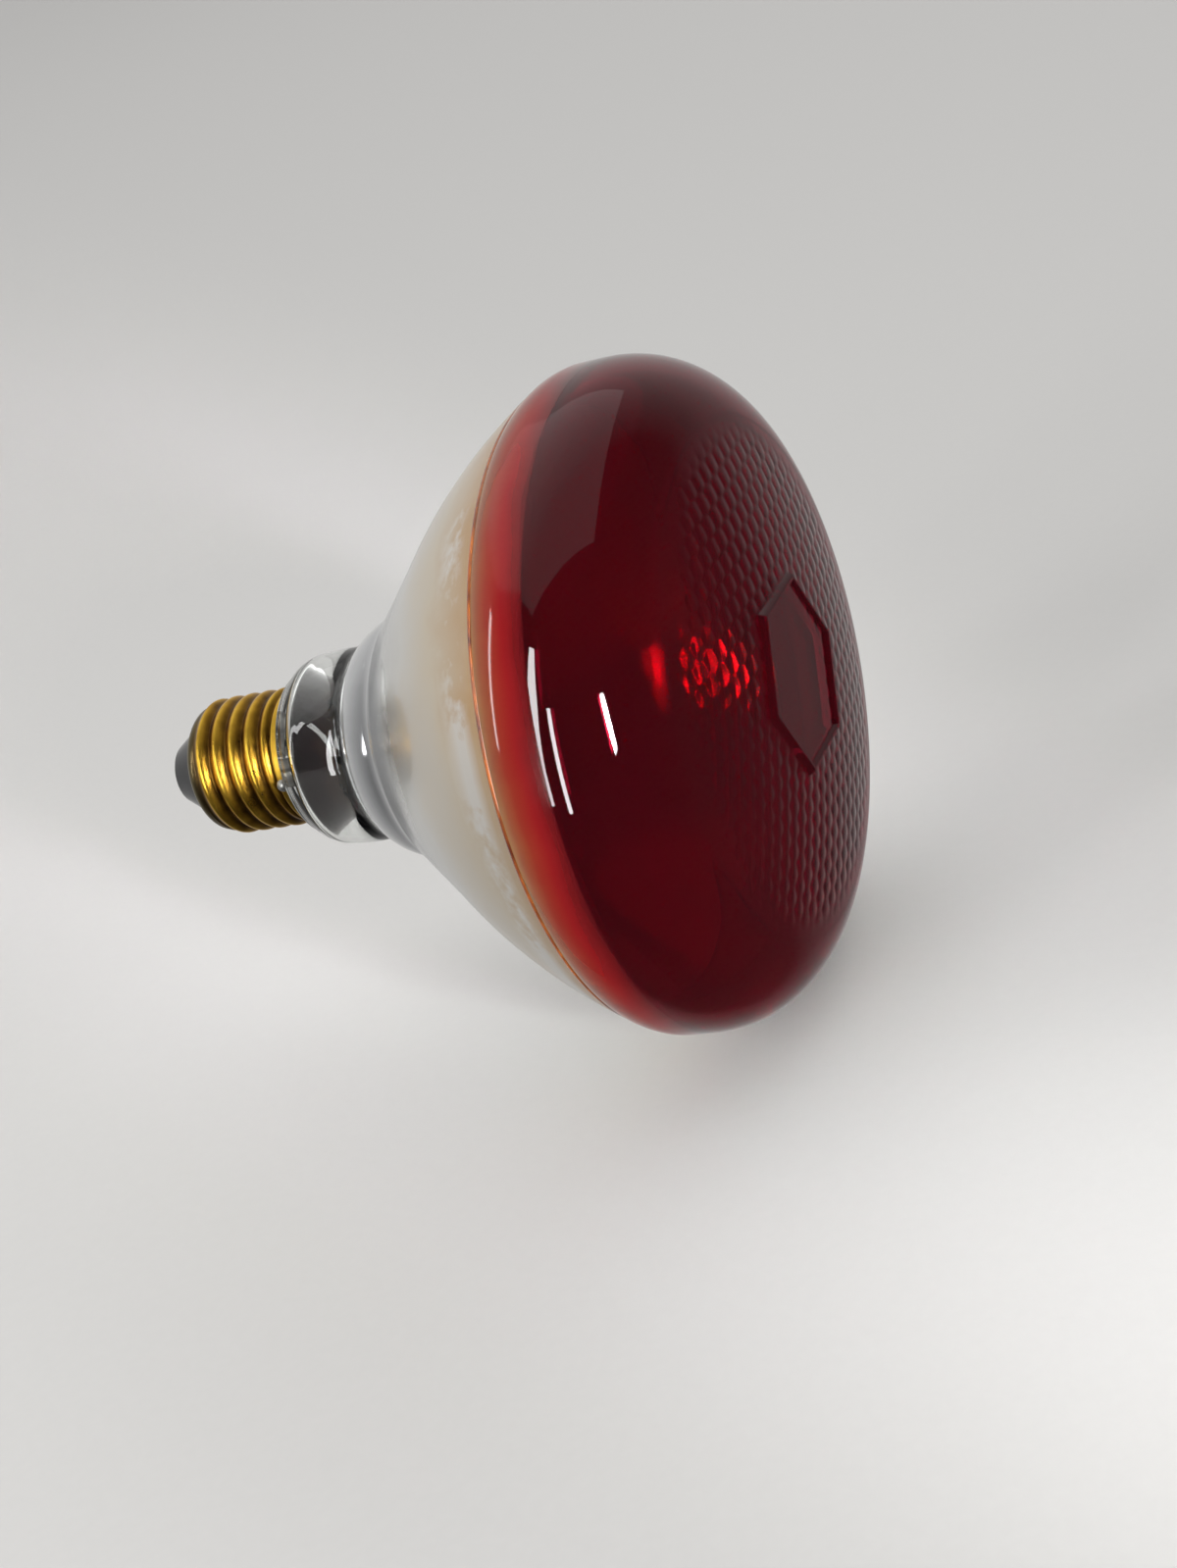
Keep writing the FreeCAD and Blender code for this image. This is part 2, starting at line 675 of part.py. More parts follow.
def lens(doc, s):
    """Red pressed lens: a rim, a plain cylindrical land, a round shoulder, a shallow dome
    and a six-sided pad in its middle."""
    land_end, shoulder_axis, spread, run = dome_layout(s)
    wall = s["lens_wall"]
    front = s["lens_back"]
    edge = s["seam_radius"] + s["seal_bulge"]
    edge_bore = s["seam_radius"] - s["seam_width"]
    centre = land_end - run
    outer = s["dome_round"] / spread
    inner = (s["dome_round"] - wall) / spread
    apex = centre + s["dome_round"]
    body = turned(doc, "lens", [
        (front, edge),
        (s["rim_station"], s["rim_radius"], s["rim_round"], -1),
        (land_end, s["rim_radius"]),
        (centre + run * outer, shoulder_axis * outer, s["shoulder_round"], -1),
        (apex, 0, s["dome_round"], -1),
        (apex - wall, 0),
        (centre + run * inner, shoulder_axis * inner, s["dome_round"] - wall, 1),
        (land_end, s["rim_radius"] - wall, s["shoulder_round"] - wall, 1),
        (s["rim_station"], s["rim_radius"] - wall),
        (front, edge_bore, s["rim_round"], 1),
    ], front)
    raised = s["pad_height"] + wall / 2
    foot = apex - wall / 2 - front
    pad = cross_sketch(body, "pad_outline", foot, hexagon=s["pad_corner_radius"])
    shape_with(doc, body, "Pad", "pad_block", pad, raised)
    window = cross_sketch(body, "window_outline", foot + raised,
                          hexagon=s["pad_corner_radius"] - s["pad_border"])
    shape_with(doc, body, "Pocket", "pad_window", window, s["pad_recess"])


# ---------------------------------------------------------------- lead-ins

def ferrule(doc, s, label, side):
    """Metal cup sealed in a hole of the glass base. Its floor carries the lead and the post."""
    inner_end = s["ferrule_end"]
    start = inner_end - s["ferrule_length"]
    bore = s["ferrule_radius"] - s["ferrule_wall"]
    floor = inner_end - s["ferrule_floor"]
    turned(doc, label, [
        (start, bore),
        (start, s["ferrule_radius"]),
        (inner_end, s["ferrule_radius"]),
        (inner_end, 0),
        (floor, 0),
        (floor, bore),
    ], start, across=s["lead_spacing"] / 2 * side)


def exhaust_stub(doc, s):
    """Tipped-off glass tube that the lamp was pumped and filled through."""
    tip = s["neck_base"] - s["stub_length"]
    wall = s["stub_radius"] - s["stub_bore"]
    turned(doc, "exhaust_stub", [
        (s["neck_base"], s["stub_radius"]),
        (s["neck_base"], s["stub_bore"]),
        (tip + s["stub_radius"], s["stub_bore"]),
        (tip + wall, 0, s["stub_bore"], 1),
        (tip, 0),
        (tip + s["stub_radius"], s["stub_radius"], s["stub_radius"], -1),
    ], tip)


def outer_leads(doc, s):
    """The live lead goes to the centre contact and the neutral lead to the skirt's hole."""
    floor = s["ferrule_end"] - s["ferrule_floor"]
    half = s["lead_spacing"] / 2
    wire(doc, "live_lead", [
        (floor, half),
        (s["fuse_start"] - s["live_bend"] / 2, half),
        (s["live_join_station"], Size.of(0)),
        (s["plug_length"] / 2, Size.of(0)),
    ], [s["live_bend"], s["live_bend"]], s["lead_radius"])
    lane = s["lead_lane_radius"] * -1
    hole = s["cap_mouth"] - s["lead_hole_inset"]
    wire(doc, "neutral_lead", [
        (floor, half * -1),
        (s["lead_turn_station"], half * -1),
        (s["lead_turn_station"], lane),
        (hole, lane),
        (hole, s["skirt_radius"] * -1),
    ], [s["lead_bend"]] * 3, s["lead_radius"])


def fuse_sleeve(doc, s):
    """Glass-bead fuse threaded on the live lead."""
    turned(doc, "fuse_sleeve", [
        (s["fuse_start"], s["lead_radius"]),
        (s["fuse_start"], s["fuse_radius"]),
        (s["fuse_start"] + s["fuse_length"], s["fuse_radius"]),
        (s["fuse_start"] + s["fuse_length"], s["lead_radius"]),
    ], s["fuse_start"], across=s["lead_spacing"] / 2)


# ---------------------------------------------------------------- filament mount

def support_post(doc, s, label, side):
    """Nickel post from a ferrule through the bridge, splayed out to the filament's end."""
    start = s["ferrule_end"]
    near = s["lead_spacing"] / 2 * side
    far = s["clamp_middle"] * side
    wire(doc, label, [
        (start, near),
        (s["post_splay_start"], near),
        (s["post_splay_end"], far),
        (s["filament_station"] - s["clamp_radius"], far),
    ], [s["post_bend"], s["post_bend"]], s["post_radius"])


def bar_across(doc, label, radius, length, station, middle):
    """A round bar that lies across the axis, along Y."""
    body = new_body(doc, label, station, across=middle)
    sketch = new_sketch(body, label + "_section", "XZ_Plane")
    draw_ring(sketch, Size.of(0), radius)
    shape_with(doc, body, "Pad", label + "_bar", sketch, length, Midplane=True)
    return body


def bridge_bead(doc, s):
    """Glass bar that holds the posts apart and carries the three hooks."""
    body = bar_across(doc, "bridge_bead", s["bridge_radius"], s["bridge_length"],
                      s["bridge_station"], Size.of(0))
    half = s["lead_spacing"] / 2
    posts = cross_sketch(body, "post_holes_outline", Size.of(0), [
        (half, s["post_radius"]),
        (half * -1, s["post_radius"]),
    ])
    shape_with(doc, body, "Pocket", "post_holes", posts, Type=THROUGH_ALL, Midplane=True)
    seats = cross_sketch(body, "hook_seats_outline", s["bridge_radius"], [
        (s["hook_spacing"] / 2 * place, s["hook_radius"]) for place in (-1, 0, 1)
    ])
    shape_with(doc, body, "Pocket", "hook_seats", seats, s["hook_depth"])


def filament_hook(doc, s, label, place):
    """Molybdenum wire from the bridge with an eye around the filament coil."""
    bottom = s["bridge_station"] + s["bridge_radius"] - s["hook_depth"]
    near = s["hook_spacing"] / 2 * place
    far = s["hook_spacing"] * place
    top = s["filament_station"] - s["hook_eye_radius"]
    bend_low = s["bridge_station"] + s["bridge_radius"] + s["hook_straight"]
    bend_high = top - s["hook_straight"]
    if place == 0:
        corners, bends = [(bottom, near), (top, far)], []
    else:
        corners = [(bottom, near), (bend_low, near), (bend_high, far), (top, far)]
        bends = [s["hook_eye_radius"]] * 2
    stem = wire(doc, label + "_stem", corners, bends, s["hook_radius"])
    eye = doc.addObject("Part::Torus", label + "_eye")
    eye.setExpression("Radius1", s["hook_eye_radius"].text)
    eye.setExpression("Radius2", s["hook_radius"].text)
    eye.Placement.Rotation = FreeCAD.Rotation(FreeCAD.Vector(1, 0, 0), 90)
    eye.setExpression("Placement.Base.x", s["filament_station"].text)
    eye.setExpression("Placement.Base.y", far.text)
    joined = doc.addObject("Part::Fuse", label)
    joined.Label = label
    joined.Base = stem
    joined.Tool = eye
    doc.recompute()


def filament(doc, s):
    """Tungsten coil across the focus. The solid is the coil's outer shape."""
    bar_across(doc, "filament", s["coil_radius"], s["filament_length"],
               s["filament_station"], Size.of(0))


def clamp(doc, s, label, side):
    """Crimped sleeve that joins an end of the filament to its post."""
    bar_across(doc, label, s["clamp_radius"], s["clamp_length"], s["filament_station"],
               s["clamp_middle"] * side)


def build(doc, s):
    centre_contact(doc, s)
    contact_solder(doc, s)
    cap_insulator(doc, s)
    screw_shell(doc, s)
    side_solder(doc, s)
    basing_cement(doc, s)
    reflector_glass(doc, s)
    mirror_coat(doc, s)
    neck_film(doc, s)
    rim_seal(doc, s)
    lens(doc, s)
    exhaust_stub(doc, s)
    outer_leads(doc, s)
    fuse_sleeve(doc, s)
    bridge_bead(doc, s)
    filament(doc, s)
    for name, side in (("live", 1), ("neutral", -1)):
        ferrule(doc, s, name + "_ferrule", side)
        support_post(doc, s, name + "_post", side)
        clamp(doc, s, name + "_clamp", side)
    for name, place in (("neutral", -1), ("middle", 0), ("live", 1)):
        filament_hook(doc, s, name + "_hook", place)


PIECES = [
    "centre_contact", "contact_solder", "cap_insulator", "screw_shell", "side_solder", "basing_cement",
    "reflector_glass", "mirror_coat", "neck_film", "rim_seal", "lens",
    "live_ferrule", "neutral_ferrule", "exhaust_stub", "live_lead", "neutral_lead", "fuse_sleeve",
    "live_post", "neutral_post", "bridge_bead", "neutral_hook", "middle_hook", "live_hook",
    "filament", "live_clamp", "neutral_clamp",
]


def check(doc):
    """Stops if any object of the document failed or any piece has no sound solid."""
    for item in doc.Objects:
        if "Invalid" in item.State or "Error" in item.State:
            raise RuntimeError(f"{item.Name} failed: {item.State}")
    for name in PIECES:
        shape = doc.getObjectsByLabel(name)[0].Shape
        if shape.isNull() or not shape.isValid() or len(shape.Solids) < 1:
            raise RuntimeError(f"{name} has no sound solid")


def main():
    doc = FreeCAD.newDocument("heat_lamp")
    sizes = make_sheet(doc)
    lay_out(sizes)
    build(doc, sizes)
    doc.recompute()
    check(doc)
    os.makedirs("parts", exist_ok=True)
    for name in PIECES:
        shape = doc.getObjectsByLabel(name)[0].Shape
        shape.exportStep(f"parts/{name}.step")
        print(f"{name}: {len(shape.Solids)} solid, {shape.Volume:.1f} mm3")


main()
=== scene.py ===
import math
import random

import bmesh
import bpy
from mathutils import Matrix, Vector


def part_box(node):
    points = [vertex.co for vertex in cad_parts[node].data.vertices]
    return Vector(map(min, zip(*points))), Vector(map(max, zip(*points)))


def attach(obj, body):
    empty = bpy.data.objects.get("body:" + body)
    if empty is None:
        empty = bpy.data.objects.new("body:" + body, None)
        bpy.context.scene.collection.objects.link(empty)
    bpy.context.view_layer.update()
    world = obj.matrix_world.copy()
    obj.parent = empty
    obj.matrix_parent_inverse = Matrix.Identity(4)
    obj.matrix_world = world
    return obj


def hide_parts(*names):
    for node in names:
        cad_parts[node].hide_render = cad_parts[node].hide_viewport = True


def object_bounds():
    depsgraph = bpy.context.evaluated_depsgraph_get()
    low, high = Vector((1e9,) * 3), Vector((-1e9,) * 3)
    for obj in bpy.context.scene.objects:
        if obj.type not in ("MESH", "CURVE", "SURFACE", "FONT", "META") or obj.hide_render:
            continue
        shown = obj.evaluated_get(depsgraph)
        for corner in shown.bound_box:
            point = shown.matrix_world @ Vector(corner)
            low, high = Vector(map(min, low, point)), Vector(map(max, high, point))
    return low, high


# The looks of a sealed-beam infrared heat lamp: a dimpled ruby-glass lens on a silvered
# pressed-glass bell, a clear neck and a rolled brass Edison cap. Everything is in metres,
# in the lamp's own frame: +X runs from the cap to the lens and +Z is up.

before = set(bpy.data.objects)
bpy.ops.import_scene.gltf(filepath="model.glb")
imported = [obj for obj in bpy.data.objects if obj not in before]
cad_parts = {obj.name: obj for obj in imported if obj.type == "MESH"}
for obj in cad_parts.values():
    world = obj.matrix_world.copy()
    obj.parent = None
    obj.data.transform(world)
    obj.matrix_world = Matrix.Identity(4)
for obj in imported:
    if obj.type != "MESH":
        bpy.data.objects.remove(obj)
cad_low, cad_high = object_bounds()

MM = 0.001
TINY = 1e-7

# ------------------------------------------------------------------ sizes read from the frame

lens_low, lens_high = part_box("lens")
seal_low, seal_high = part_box("rim_seal")
coat_low, coat_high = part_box("mirror_coat")
film_low, film_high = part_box("neck_film")
glass_low, glass_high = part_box("reflector_glass")
shell_low, shell_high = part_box("screw_shell")
filament_low, filament_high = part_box("filament")

RIM_RADIUS = lens_high.z
LENS_BACK = lens_low.x
LENS_FRONT = lens_high.x
SEAM_RADIUS = glass_high.z
SEAM_BORE = coat_high.z
COLLAR_START = coat_low.x
SEAM_STATION = coat_high.x
BARREL_BORE = film_high.z
BOSS_START = glass_low.x

# ------------------------------------------------------------------ sizes of the looks

GLASS_WALL = 2.5 * MM
LENS_WALL = 3.2 * MM
RIM_LAND_START = LENS_BACK + 6.4 * MM
RIM_LAND_END = RIM_LAND_START + 4.2 * MM
RIM_ROUND = 9.8 * MM
SHOULDER_ROUND = 18.5 * MM
DOME_ROUND = 205 * MM
PAD_CORNER = 18 * MM
PAD_BORDER = 2 * MM
PAD_RECESS = 0.7 * MM
PAD_BEVEL = 0.9 * MM
DIMPLE_PITCH = 3.9 * MM
DIMPLE_DEPTH = 0.13 * MM
DIMPLE_ZONE = 46 * MM
DIMPLE_FADE = 6 * MM
DIMPLE_CLEAR = 0.2 * MM  # plain dome left round the pad
DIMPLE_FULL = 1.4 * MM  # where the dimples round the pad reach their full depth
THREAD_PITCH = 3.629 * MM
THREAD_ROOT = 12.2 * MM
THREAD_CREST = 13.15 * MM
SKIRT_LENGTH = 3.0 * MM

# How finely the meshes are drawn.
FEWEST_ARC_STEPS = 3
WIDEST_ARC_STEP = 0.12  # radians
AROUND = 192  # points round a turned piece
FINELY_AROUND = AROUND * 4  # points round the dimpled zone
DIMPLE_ROW = 0.4 * MM  # from one ring of the dimpled zone to the next


def outline(steps, fineness=0.6 * MM):
    """Points along an outline. A step is (x, r) for a straight run, or (x, r, radius, turn)
    for an arc, where turn is 1 to the left of the way and -1 to the right."""
    points = [Vector(steps[0][:2])]
    for step in steps[1:]:
        start, finish = points[-1].copy(), Vector(step[:2])
        if len(step) == 2:
            points.append(finish)
            continue
        radius, turn = step[2], step[3]
        chord = finish - start
        left = Vector((-chord.y, chord.x)).normalized()
        reach = math.sqrt(max(radius ** 2 - chord.length_squared / 4, 0))
        centre = (start + finish) / 2 + left * (reach * turn)
        first = math.atan2(start.y - centre.y, start.x - centre.x)
        swing = 2 * math.asin(min(chord.length / 2 / radius, 1)) * turn
        count = max(FEWEST_ARC_STEPS, math.ceil(abs(swing) * radius / fineness),
                    math.ceil(abs(swing) / WIDEST_ARC_STEP))
        for k in range(1, count + 1):
            angle = first + swing * k / count
            points.append(centre + radius * Vector((math.cos(angle), math.sin(angle))))
    return points


def mesh_piece(name, verts, faces, sharp_degrees=35):
    """A smooth-shaded mesh piece with its hard edges kept crisp."""
    mesh = bpy.data.meshes.new(name)
    mesh.from_pydata([tuple(v) for v in verts], [], faces)
    skin = bmesh.new()
    skin.from_mesh(mesh)
    bmesh.ops.recalc_face_normals(skin, faces=skin.faces)
    skin.to_mesh(mesh)
    skin.free()
    mesh.shade_smooth()
    mesh.set_sharp_from_angle(angle=math.radians(sharp_degrees))
    piece = bpy.data.objects.new(name, mesh)
    bpy.context.scene.collection.objects.link(piece)
    return piece


def around(x, radius, angle):
    """A point at an angle about the lamp's axis, from +Y towards +Z."""
    return (x, radius * math.cos(angle), radius * math.sin(angle))


class Rings:
    """A skin made of rings about the axis. Each next ring joins to the last, and it may have
    the same number of points, half or twice as many, or be a single point on the axis."""

    def __init__(self):
        self.verts = []
        self.faces = []
        self.last = None
        self.first = None

    def ring(self, points):
        """Adds a ring and joins it to the last one."""
        start = len(self.verts)
        self.verts.extend(points)
        ids = list(range(start, start + len(points)))
        if self.last is not None:
            self.join(self.last, ids)
        else:
            self.first = ids
        self.last = ids

    def join(self, one, two):
        """Fills the band between two rings of point numbers."""
        a, b = len(one), len(two)
        if a == 1 or b == 1:
            many = max(one, two, key=len)
            tip = min(one, two, key=len)[0]
            for k in range(len(many)):
                pair = (many[k], many[(k + 1) % len(many)])
                self.faces.append((tip, *pair) if a == 1 else (tip, *reversed(pair)))
        elif a == b:
            for k in range(a):
                n = (k + 1) % a
                self.faces.append((one[k], two[k], two[n], one[n]))
        elif a == 2 * b:
            for k in range(b):
                n = (k + 1) % b
                left, middle, right = one[2 * k], one[2 * k + 1], one[(2 * k + 2) % a]
                self.faces += [(left, two[k], middle), (middle, two[k], two[n]),
                               (middle, two[n], right)]
        else:
            for k in range(a):
                n = (k + 1) % a
                left, middle, right = two[2 * k], two[2 * k + 1], two[(2 * k + 2) % b]
                self.faces += [(one[k], left, middle), (one[k], middle, one[n]),
                               (one[n], middle, right)]

    def close(self):
        """Joins the last ring to the first."""
        self.join(self.last, self.first)

    def turned(self, points, count):
        """Adds a ring for each point of an outline."""
        for point in points:
            if abs(point.y) < TINY:
                self.ring([(point.x, 0, 0)])
            else:
                self.ring([around(point.x, point.y, math.tau * k / count) for k in range(count)])


def turned_piece(name, steps, closed=True):
    """A piece turned about the axis from an outline. A closed outline ends where it starts, and
    an open one starts and ends on the axis."""
    skin = Rings()
    points = outline(steps)
    if closed:
        points.pop()
    skin.turned(points, AROUND)
    if closed:
        skin.close()
    return mesh_piece(name, skin.verts, skin.faces)


# ------------------------------------------------------------------ lens

def hexagon_reach(corner, angle):
    """How far a hexagon with a corner on +Y reaches from the axis at an angle."""
    within = math.remainder(angle - math.pi / 6, math.pi / 3)
    return corner * math.cos(math.pi / 6) / math.cos(within)


# The dome and the shoulder are two arcs that meet smoothly. The dome's centre lies on the axis,
# and the shoulder's lies beside the end of the rim's land.
ROUNDS_APART = DOME_ROUND - SHOULDER_ROUND
SHOULDER_OFFSET = RIM_RADIUS - SHOULDER_ROUND
DOME_TO_SHOULDER = math.sqrt(ROUNDS_APART ** 2 - SHOULDER_OFFSET ** 2)
DOME_CENTRE = RIM_LAND_END - DOME_TO_SHOULDER


def dome_station(radius):
    """Where the plain dome lies along the axis at a radius."""
    return DOME_CENTRE + math.sqrt(DOME_ROUND ** 2 - radius ** 2)


def shoulder_meeting(dome_round):
    """Where a dome of this radius, struck from the dome's centre, meets its shoulder."""
    share = dome_round / ROUNDS_APART
    return DOME_CENTRE + DOME_TO_SHOULDER * share, SHOULDER_OFFSET * share


def smooth_step(value, low, high):
    """0 up to low, 1 from high on, and a smooth rise between them."""
    t = min(max((value - low) / (high - low), 0), 1)
    return t * t * (3 - 2 * t)


def dimple(y, z):
    """How far the pressed pattern lies below the dome: close-packed pebbles that meet in
    sharp valleys."""
    nearest = wide = DIMPLE_PITCH
    tall = DIMPLE_PITCH * math.sqrt(3)
    for shift in (0, 0.5):
        row, column = y / wide - shift, z / tall - shift
        off_row, off_column = (row - round(row)) * wide, (column - round(column)) * tall
        nearest = min(nearest, math.hypot(off_row, off_column))
    return DIMPLE_DEPTH * (nearest * 2 / DIMPLE_PITCH) ** 2


def front_point(radius, angle):
    """A point on the dimpled front of the lens."""
    y, z = radius * math.cos(angle), radius * math.sin(angle)
    clear = radius - hexagon_reach(PAD_CORNER, angle)
    cover = smooth_step(clear, DIMPLE_CLEAR, DIMPLE_FULL)
    cover *= 1 - smooth_step(radius, DIMPLE_ZONE - DIMPLE_FADE, DIMPLE_ZONE)
    return (dome_station(radius) - cover * dimple(y, z), y, z)


def hexagon_ring(station, corner, count=FINELY_AROUND):
    """Points of a hexagon about the axis."""
    angles = [math.tau * k / count for k in range(count)]
    return [around(station, hexagon_reach(corner, a), a) for a in angles]


def lens_pad(skin):
    """The six-sided pad, from the axis over its sunk window and its flat border to its
    bevelled edge."""
    floor = LENS_FRONT - PAD_RECESS
    window = PAD_CORNER - PAD_BORDER
    innermost, doublings = 0.15, 4
    skin.ring([(floor, 0, 0)])
    for doubled in range(doublings + 1):
        reach = window * (innermost + (1 - innermost) * doubled / doublings)
        skin.ring(hexagon_ring(floor, reach, FINELY_AROUND // 2 ** (doublings - doubled)))
    for station, corner in (
        (floor + 0.08 * MM, window + 0.12 * MM),
        (LENS_FRONT - 0.1 * MM, window + 0.45 * MM),
        (LENS_FRONT, window + 0.6 * MM),
        (LENS_FRONT, PAD_CORNER - PAD_BEVEL),
        (LENS_FRONT - 0.12 * MM, PAD_CORNER - PAD_BEVEL * 0.8),
        (LENS_FRONT - 0.8 * MM, PAD_CORNER - PAD_BEVEL * 0.25),
    ):
        skin.ring(hexagon_ring(station, corner))


def lens_dimples(skin):
    """The dimpled front round the pad. Its rings go over from a hexagon to a circle."""
    angles = [math.tau * k / FINELY_AROUND for k in range(FINELY_AROUND)]
    round_from = 24 * MM
    steps = round((round_from - PAD_CORNER) / DIMPLE_ROW)
    for k in range(steps + 1):
        share = k / steps
        skin.ring([front_point(hexagon_reach(PAD_CORNER, a) * (1 - share) + round_from * share, a)
                   for a in angles])
    steps = round((DIMPLE_ZONE - round_from) / DIMPLE_ROW)
    for k in range(1, steps + 1):
        radius = round_from + (DIMPLE_ZONE - round_from) * k / steps
        skin.ring([front_point(radius, a) for a in angles])


def lens_shoulder(skin):
    """The plain dome and shoulder to the end of the rim's land, and the inside back to the
    axis. The first ring has half as many points as the dimples' rings, and the rest a quarter."""
    inner_dome = DOME_ROUND - LENS_WALL
    first = DIMPLE_ZONE + DIMPLE_ROW
    second = first + 0.5 * MM
    skin.turned([Vector((dome_station(first), first))], AROUND * 2)
    skin.turned(outline([
        (dome_station(second), second),
        (*shoulder_meeting(DOME_ROUND), DOME_ROUND, 1),
        (RIM_LAND_END, RIM_RADIUS, SHOULDER_ROUND, 1),
        (RIM_LAND_END, RIM_RADIUS - LENS_WALL),
        (*shoulder_meeting(inner_dome), SHOULDER_ROUND - LENS_WALL, -1),
        (DOME_CENTRE + inner_dome, 0, inner_dome, -1),
    ], fineness=1.2 * MM), AROUND)


def make_lens():
    """The lens face as one closed skin."""
    skin = Rings()
    lens_pad(skin)
    lens_dimples(skin)
    lens_shoulder(skin)
    return mesh_piece("lens_glass", skin.verts, skin.faces, 28)


def make_rim():
    """The lens's rim, between the seal and the shoulder."""
    hairline = 0.03 * MM
    joint = RIM_LAND_END - hairline
    return turned_piece("lens_rim", [
        (LENS_BACK, SEAM_BORE),
        (LENS_BACK, seal_high.z),
        (RIM_LAND_START, RIM_RADIUS, RIM_ROUND, -1),
        (joint, RIM_RADIUS),
        (joint, RIM_RADIUS - LENS_WALL),
        (RIM_LAND_START, RIM_RADIUS - LENS_WALL),
        (LENS_BACK, SEAM_BORE, RIM_ROUND, 1),
    ])


def make_seal():
    """The fused bead between the bell's edge and the rim."""
    front = seal_high.x
    back = seal_low.x
    swell = 0.9 * MM
    return turned_piece("seal_bead", [
        (back, SEAM_BORE),
        (back, SEAM_RADIUS),
        (front, seal_high.z, swell, -1),
        (front, SEAM_BORE),
        (back, SEAM_BORE),
    ])


# ------------------------------------------------------------------ glass reflector

BARREL_RADIUS = BARREL_BORE + GLASS_WALL
WAIST_START = COLLAR_START - 2.2 * MM
WAIST_RISE = 0.5 * MM
COLLAR_END = COLLAR_START + 7.2 * MM
COLLAR_RADIUS = 23 * MM
STEP_END = COLLAR_END + 3 * MM
STEP_RADIUS = 25.3 * MM
BELL_START = SEAM_STATION - 26.5 * MM
BELL_RADIUS = 36.7 * MM
BELL_ROUND = 108 * MM
NECK_BASE = BOSS_START + 10.6 * MM
NECK_FACE = 14.9 * MM
NECK_LIP = 0.9 * MM
NECK_CORNER = 2 * MM
BASE_THICKNESS = 3 * MM
SHOULDER_END = NECK_BASE + 6 * MM
BOSS_RADIUS = 10.9 * MM
BOSS_BORE = 8.4 * MM

# Rounds of the outline: the shoulder, the barrel's slight swell, the waist, and the collar and
# the step outside and inside.
NECK_SHOULDER_ROUND = 7 * MM
BARREL_ROUND = 30 * MM
WAIST_ROUND = 2.6 * MM
COLLAR_ROUND = 14 * MM
COLLAR_INNER_ROUND = COLLAR_ROUND - GLASS_WALL
STEP_ROUND = 4.2 * MM
STEP_INNER_ROUND = STEP_ROUND + GLASS_WALL


def inner_bell():
    """Where the inside of the bell's straight foot starts and where it ends."""
    slant = GLASS_WALL * math.sqrt(0.5)
    foot_shift = 0.7
    foot = (STEP_END + foot_shift * slant, STEP_RADIUS - slant)
    bend = (BELL_START + slant, BELL_RADIUS - slant)
    return foot, bend


def make_neck():
    """The clear part of the pressed glass: boss, closed base and barrel up to the waist."""
    base = NECK_BASE + BASE_THICKNESS
    return turned_piece("clear_neck", [
        (NECK_BASE, 0),
        (NECK_BASE, BOSS_BORE),
        (BOSS_START, BOSS_BORE),
        (BOSS_START, BOSS_RADIUS),
        (NECK_BASE, BOSS_RADIUS),
        (NECK_BASE, NECK_FACE),
        (NECK_BASE + NECK_LIP, NECK_FACE + NECK_LIP, NECK_LIP, -1),
        (SHOULDER_END, BARREL_RADIUS, NECK_SHOULDER_ROUND, -1),
        (WAIST_START, BARREL_RADIUS, BARREL_ROUND, -1),
        (COLLAR_START, BARREL_RADIUS + WAIST_RISE, WAIST_ROUND, 1),
        (COLLAR_START, BARREL_BORE + WAIST_RISE),
        (WAIST_START, BARREL_BORE),
        (base + NECK_CORNER, BARREL_BORE),
        (base, BARREL_BORE - NECK_CORNER, NECK_CORNER, 1),
        (base, 0),
    ], closed=False)


def make_bell():
    """The silvered part of the pressed glass: collar, step and bell up to the seam."""
    foot, bend = inner_bell()
    return turned_piece("silvered_bell", [
        (COLLAR_START, BARREL_RADIUS + WAIST_RISE),
        (COLLAR_END, COLLAR_RADIUS, COLLAR_ROUND, -1),
        (STEP_END, STEP_RADIUS, STEP_ROUND, 1),
        (BELL_START, BELL_RADIUS),
        (SEAM_STATION, SEAM_RADIUS, BELL_ROUND, -1),
        (SEAM_STATION, SEAM_BORE),
        (*bend, BELL_ROUND - GLASS_WALL, 1),
        foot,
        (COLLAR_END, COLLAR_RADIUS - GLASS_WALL, STEP_INNER_ROUND, -1),
        (COLLAR_START, BARREL_BORE + WAIST_RISE, COLLAR_INNER_ROUND, 1),
        (COLLAR_START, BARREL_RADIUS + WAIST_RISE),
    ])


def make_coat():
    """The bright aluminium film that lines the bell."""
    foot, bend = inner_bell()
    lift = 0.05 * MM
    film = 0.15 * MM
    return turned_piece("mirror_lining", [
        (COLLAR_START, BARREL_BORE + WAIST_RISE - lift),
        (COLLAR_END, COLLAR_RADIUS - GLASS_WALL - lift, COLLAR_INNER_ROUND, -1),
        (foot[0], foot[1] - lift, STEP_INNER_ROUND, 1),
        (bend[0], bend[1] - lift),
        (SEAM_STATION, SEAM_BORE - lift, BELL_ROUND - GLASS_WALL, -1),
        (SEAM_STATION, SEAM_BORE - film),
        (bend[0], bend[1] - film, BELL_ROUND - GLASS_WALL, 1),
        (foot[0], foot[1] - film),
        (COLLAR_END, COLLAR_RADIUS - GLASS_WALL - film, STEP_INNER_ROUND, -1),
        (COLLAR_START, BARREL_BORE + WAIST_RISE - film, COLLAR_INNER_ROUND, 1),
        (COLLAR_START, BARREL_BORE + WAIST_RISE - lift),
    ])


FILM_BASE_WIDTH = 4.5 * MM
FILM_OUTER_DEPTH = 0.03 * MM
FILM_INNER_DEPTH = 0.12 * MM
FILM_SHORTFALL = 0.9  # mm, on average
